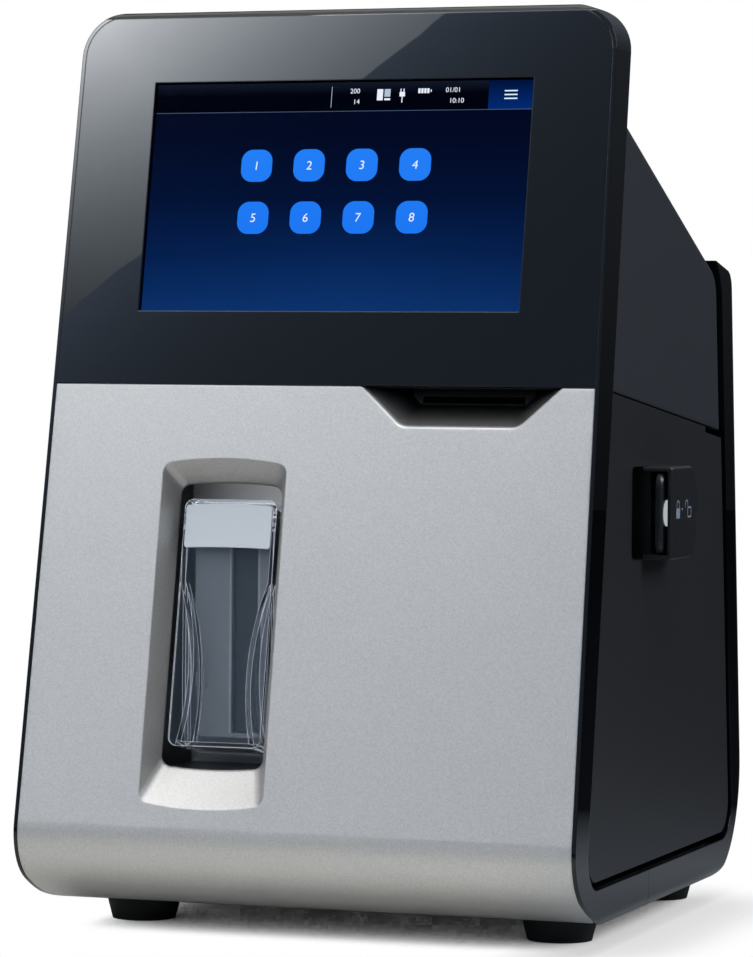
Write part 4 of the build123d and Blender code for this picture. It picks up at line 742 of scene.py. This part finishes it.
# The housing's black is a lit copy of the door's: painted paler and bluer for the light and bluish sheen
# that its upper slope catches.
shell_black_lit = moulded("shell_black_lit", (0.049, 0.0535, 0.061), roughness=0.46,
                      grain_per_metre=SHELL_GRAIN, grain_depth=0.02, shade=0.10, edge=1.4)
door_black = moulded("door_black", (0.026, 0.0265, 0.0285), roughness=0.46,
                     grain_per_metre=SHELL_GRAIN, grain_depth=0.02, shade=0.10, edge=0.5)
dress(shell_black_lit, "upper_housing", "left_side_panel", "rear_cover")
dress(door_black, "cartridge_door")
dress(piano_black, "rear_frame")
dress(moulded("latch_black", (0.032, 0.033, 0.036), roughness=0.30, grain_depth=0.006, edge=0.7),
      "latch_housing")
dress(moulded("paddle_grey", (0.034, 0.036, 0.040), roughness=0.22, grain_depth=0.004, edge=0.8),
      "latch_paddle")
# The white dot on the latch glows: painted light, so that it shows bright in the block's shade.
dress(glow_finish("dot_painted_glow", (0.42, 0.45, 0.48)), "latch_dot")

latch_low, latch_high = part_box("latch_housing")
MARK_LIFT = 0.03 * MM                 # the printed marks stand clear of the moulding
MARK_RISE = 1.4 * MM                  # and this far above the middle of the block
SHARPEST_MITRE = 0.3                  # a corner's mitre grows no longer than at this cosine of half its turn
mark_grey = moulded("mark_grey", (0.42, 0.49, 0.58), roughness=0.5, grain_depth=0.002)


def printed_line(name, points, width, closed=False):
    """Printed line through points (y, z) on the block's outer face. Each point gives two, half a width to
    either side along the mitre, which is longer by one over the cosine of half the turn.
    """
    path = np.array(points)
    before = np.roll(path, 1, axis=0) if closed else np.vstack([2 * path[0] - path[1], path[:-1]])
    after = np.roll(path, -1, axis=0) if closed else np.vstack([path[1:], 2 * path[-1] - path[-2]])
    into = (path - before) / np.linalg.norm(path - before, axis=1)[:, None]
    out_of = (after - path) / np.linalg.norm(after - path, axis=1)[:, None]
    turn = into + out_of
    turn /= np.linalg.norm(turn, axis=1)[:, None]
    across = np.stack([-turn[:, 1], turn[:, 0]], axis=1)
    across *= (width / 2 / np.maximum((turn * into).sum(axis=1), SHARPEST_MITRE))[:, None]
    edges = np.stack([path - across, path + across])
    if closed:
        edges = np.concatenate([edges, edges[:, :1]], axis=1)
    start = np.array((latch_high.x + MARK_LIFT, 0, (latch_low.z + latch_high.z) / 2 + MARK_RISE))
    placed = start + edges[..., :1] * np.array((0, 1, 0)) + edges[..., 1:] * np.array((0, 0, 1))
    piece(name, sheet_mesh(name, placed), mark_grey, "door")


SHUT_Y, ARROW_Y, OPEN_Y = -18.7 * MM, -12.4 * MM, -1.6 * MM       # middles of the three signs
BODY_TOP = 0.4 * MM
SHUT_BOTTOM, SHUT_W = -3.5 * MM, 5.4 * MM
OPEN_BOTTOM, OPEN_HALF, OPEN_LINE = -3.2 * MM, 2.4 * MM, 0.6 * MM
SHACKLE_HALF, SHACKLE_LEG, SHACKLE_LINE = 1.9 * MM, 1.0 * MM, 0.55 * MM
SHACKLE_POINTS = 9
SHACKLE_ASIDE = 4.4 * MM              # the open shackle stands this far to the front of its body
ARROW_HALF, ARROW_LINE = 0.8 * MM, 0.8 * MM


def shackle(middle):
    """Half circle on two straight legs, as points (y, z)."""
    angle = np.linspace(math.pi, 0, SHACKLE_POINTS)
    arc = np.stack([middle + SHACKLE_HALF * np.cos(angle),
                    BODY_TOP + SHACKLE_LEG + SHACKLE_HALF * np.sin(angle)], axis=1)
    return np.vstack([[arc[0, 0], BODY_TOP], arc, [arc[-1, 0], BODY_TOP]])


open_box = [(OPEN_Y - OPEN_HALF, OPEN_BOTTOM), (OPEN_Y + OPEN_HALF, OPEN_BOTTOM),
            (OPEN_Y + OPEN_HALF, BODY_TOP), (OPEN_Y - OPEN_HALF, BODY_TOP)]
printed_line("shut_mark_body", [(SHUT_Y, SHUT_BOTTOM), (SHUT_Y, BODY_TOP)], SHUT_W)
printed_line("shut_mark_shackle", shackle(SHUT_Y), SHACKLE_LINE)
printed_line("arrow_mark", [(ARROW_Y - ARROW_HALF, 0), (ARROW_Y + ARROW_HALF, 0)], ARROW_LINE)
printed_line("open_mark_body", open_box, OPEN_LINE, closed=True)
printed_line("open_mark_shackle", shackle(OPEN_Y - SHACKLE_ASIDE), SHACKLE_LINE)


# ------------------------------------------------------------------ feet
# Four tapered feet of soft black rubber under the floor, moulded matte with a coarse grain and a slightly
# dusty bloom. The rear pair rises with the heel of the ring.
dress(moulded("foot_rubber", (0.018, 0.018, 0.018), roughness=0.72, grain_per_metre=900.0, grain_depth=0.03),
      "feet")


# ------------------------------------------------------------------ steelwork, boards and printer
# Folded zinc plated sheet carries a green controller board, the battery and the slip printer. The other
# small parts inside and at the rear are turned steel, anodised blocks, rubber, paper and moulded plastic.
ROLLING = (900.0, 30.0, 900.0)        # rolled lines in a metre, drawn out along Y
SPANGLES, SPANGLE_SHADE = 60.0, 0.8
LINE_ROUGHNESS, LINE_DEPTH = 0.15, 0.004 * MM
SHEET_EDGE = 0.2 * MM


def sheet_metal(name, colour, roughness):
    """Rolled sheet: fine lines along Y over a slow crystalline change of tone."""
    finish = Finish(name)
    stretched = finish.node("ShaderNodeMapping", None, {"Vector": finish.place(), "Scale": ROLLING})
    lines = finish.node("ShaderNodeTexNoise", None, {"Vector": stretched, "Scale": 1.0, "Detail": 2.0})
    spangle = finish.cells(SPANGLES)
    darker = tuple(part * SPANGLE_SHADE for part in colour)
    return finish.surface(finish.principled(
        Base_Color=finish.blend(spangle, colour, darker), Metallic=1.0,
        Roughness=roughness + lines * LINE_ROUGHNESS,
        Normal=finish.relief(lines, LINE_DEPTH, normal=finish.soft_edges(SHEET_EDGE))))


dress(sheet_metal("zinc_sheet", (0.52, 0.54, 0.55), 0.34),
      "base_pan", "upper_deck", "left_upright", "printer_frame", "hinge_brackets")
dress(sheet_metal("ground_steel", (0.62, 0.63, 0.64), 0.22),
      "sampler_pin", "probe_needle", "hinge_pins", "latch_bar")
dress(sheet_metal("anodised_block", (0.40, 0.41, 0.42), 0.40), "print_head", "pump_motor")
dress(sheet_metal("port_shell", (0.66, 0.66, 0.65), 0.25), "usb_ports", "lan_port")
dress(moulded("solder_mask", (0.02, 0.16, 0.06), roughness=0.35), "main_board", "display_board")
dress(moulded("battery_case", (0.14, 0.15, 0.17), roughness=0.5), "battery_pack")
dress(moulded("platen_rubber", (0.03, 0.03, 0.03), roughness=0.65), "platen_roller")
dress(moulded("paper_white", (0.82, 0.82, 0.79), roughness=0.8), "paper_roll")
dress(moulded("bay_grey", (0.20, 0.21, 0.23), roughness=0.5),
      "cartridge_tray", "fan_frame", "fan_rotor", "valve_block")
dress(moulded("cartridge_white", (0.74, 0.76, 0.79), roughness=0.42), "cartridge_case", "cartridge_grip")
dress(moulded("pump_blue", (0.06, 0.16, 0.38), roughness=0.35), "pump_rotor", "pump_rollers")
dress(moulded("switch_black", (0.022, 0.022, 0.024), roughness=0.35), "rocker", "rocker_bezel", "power_jack")
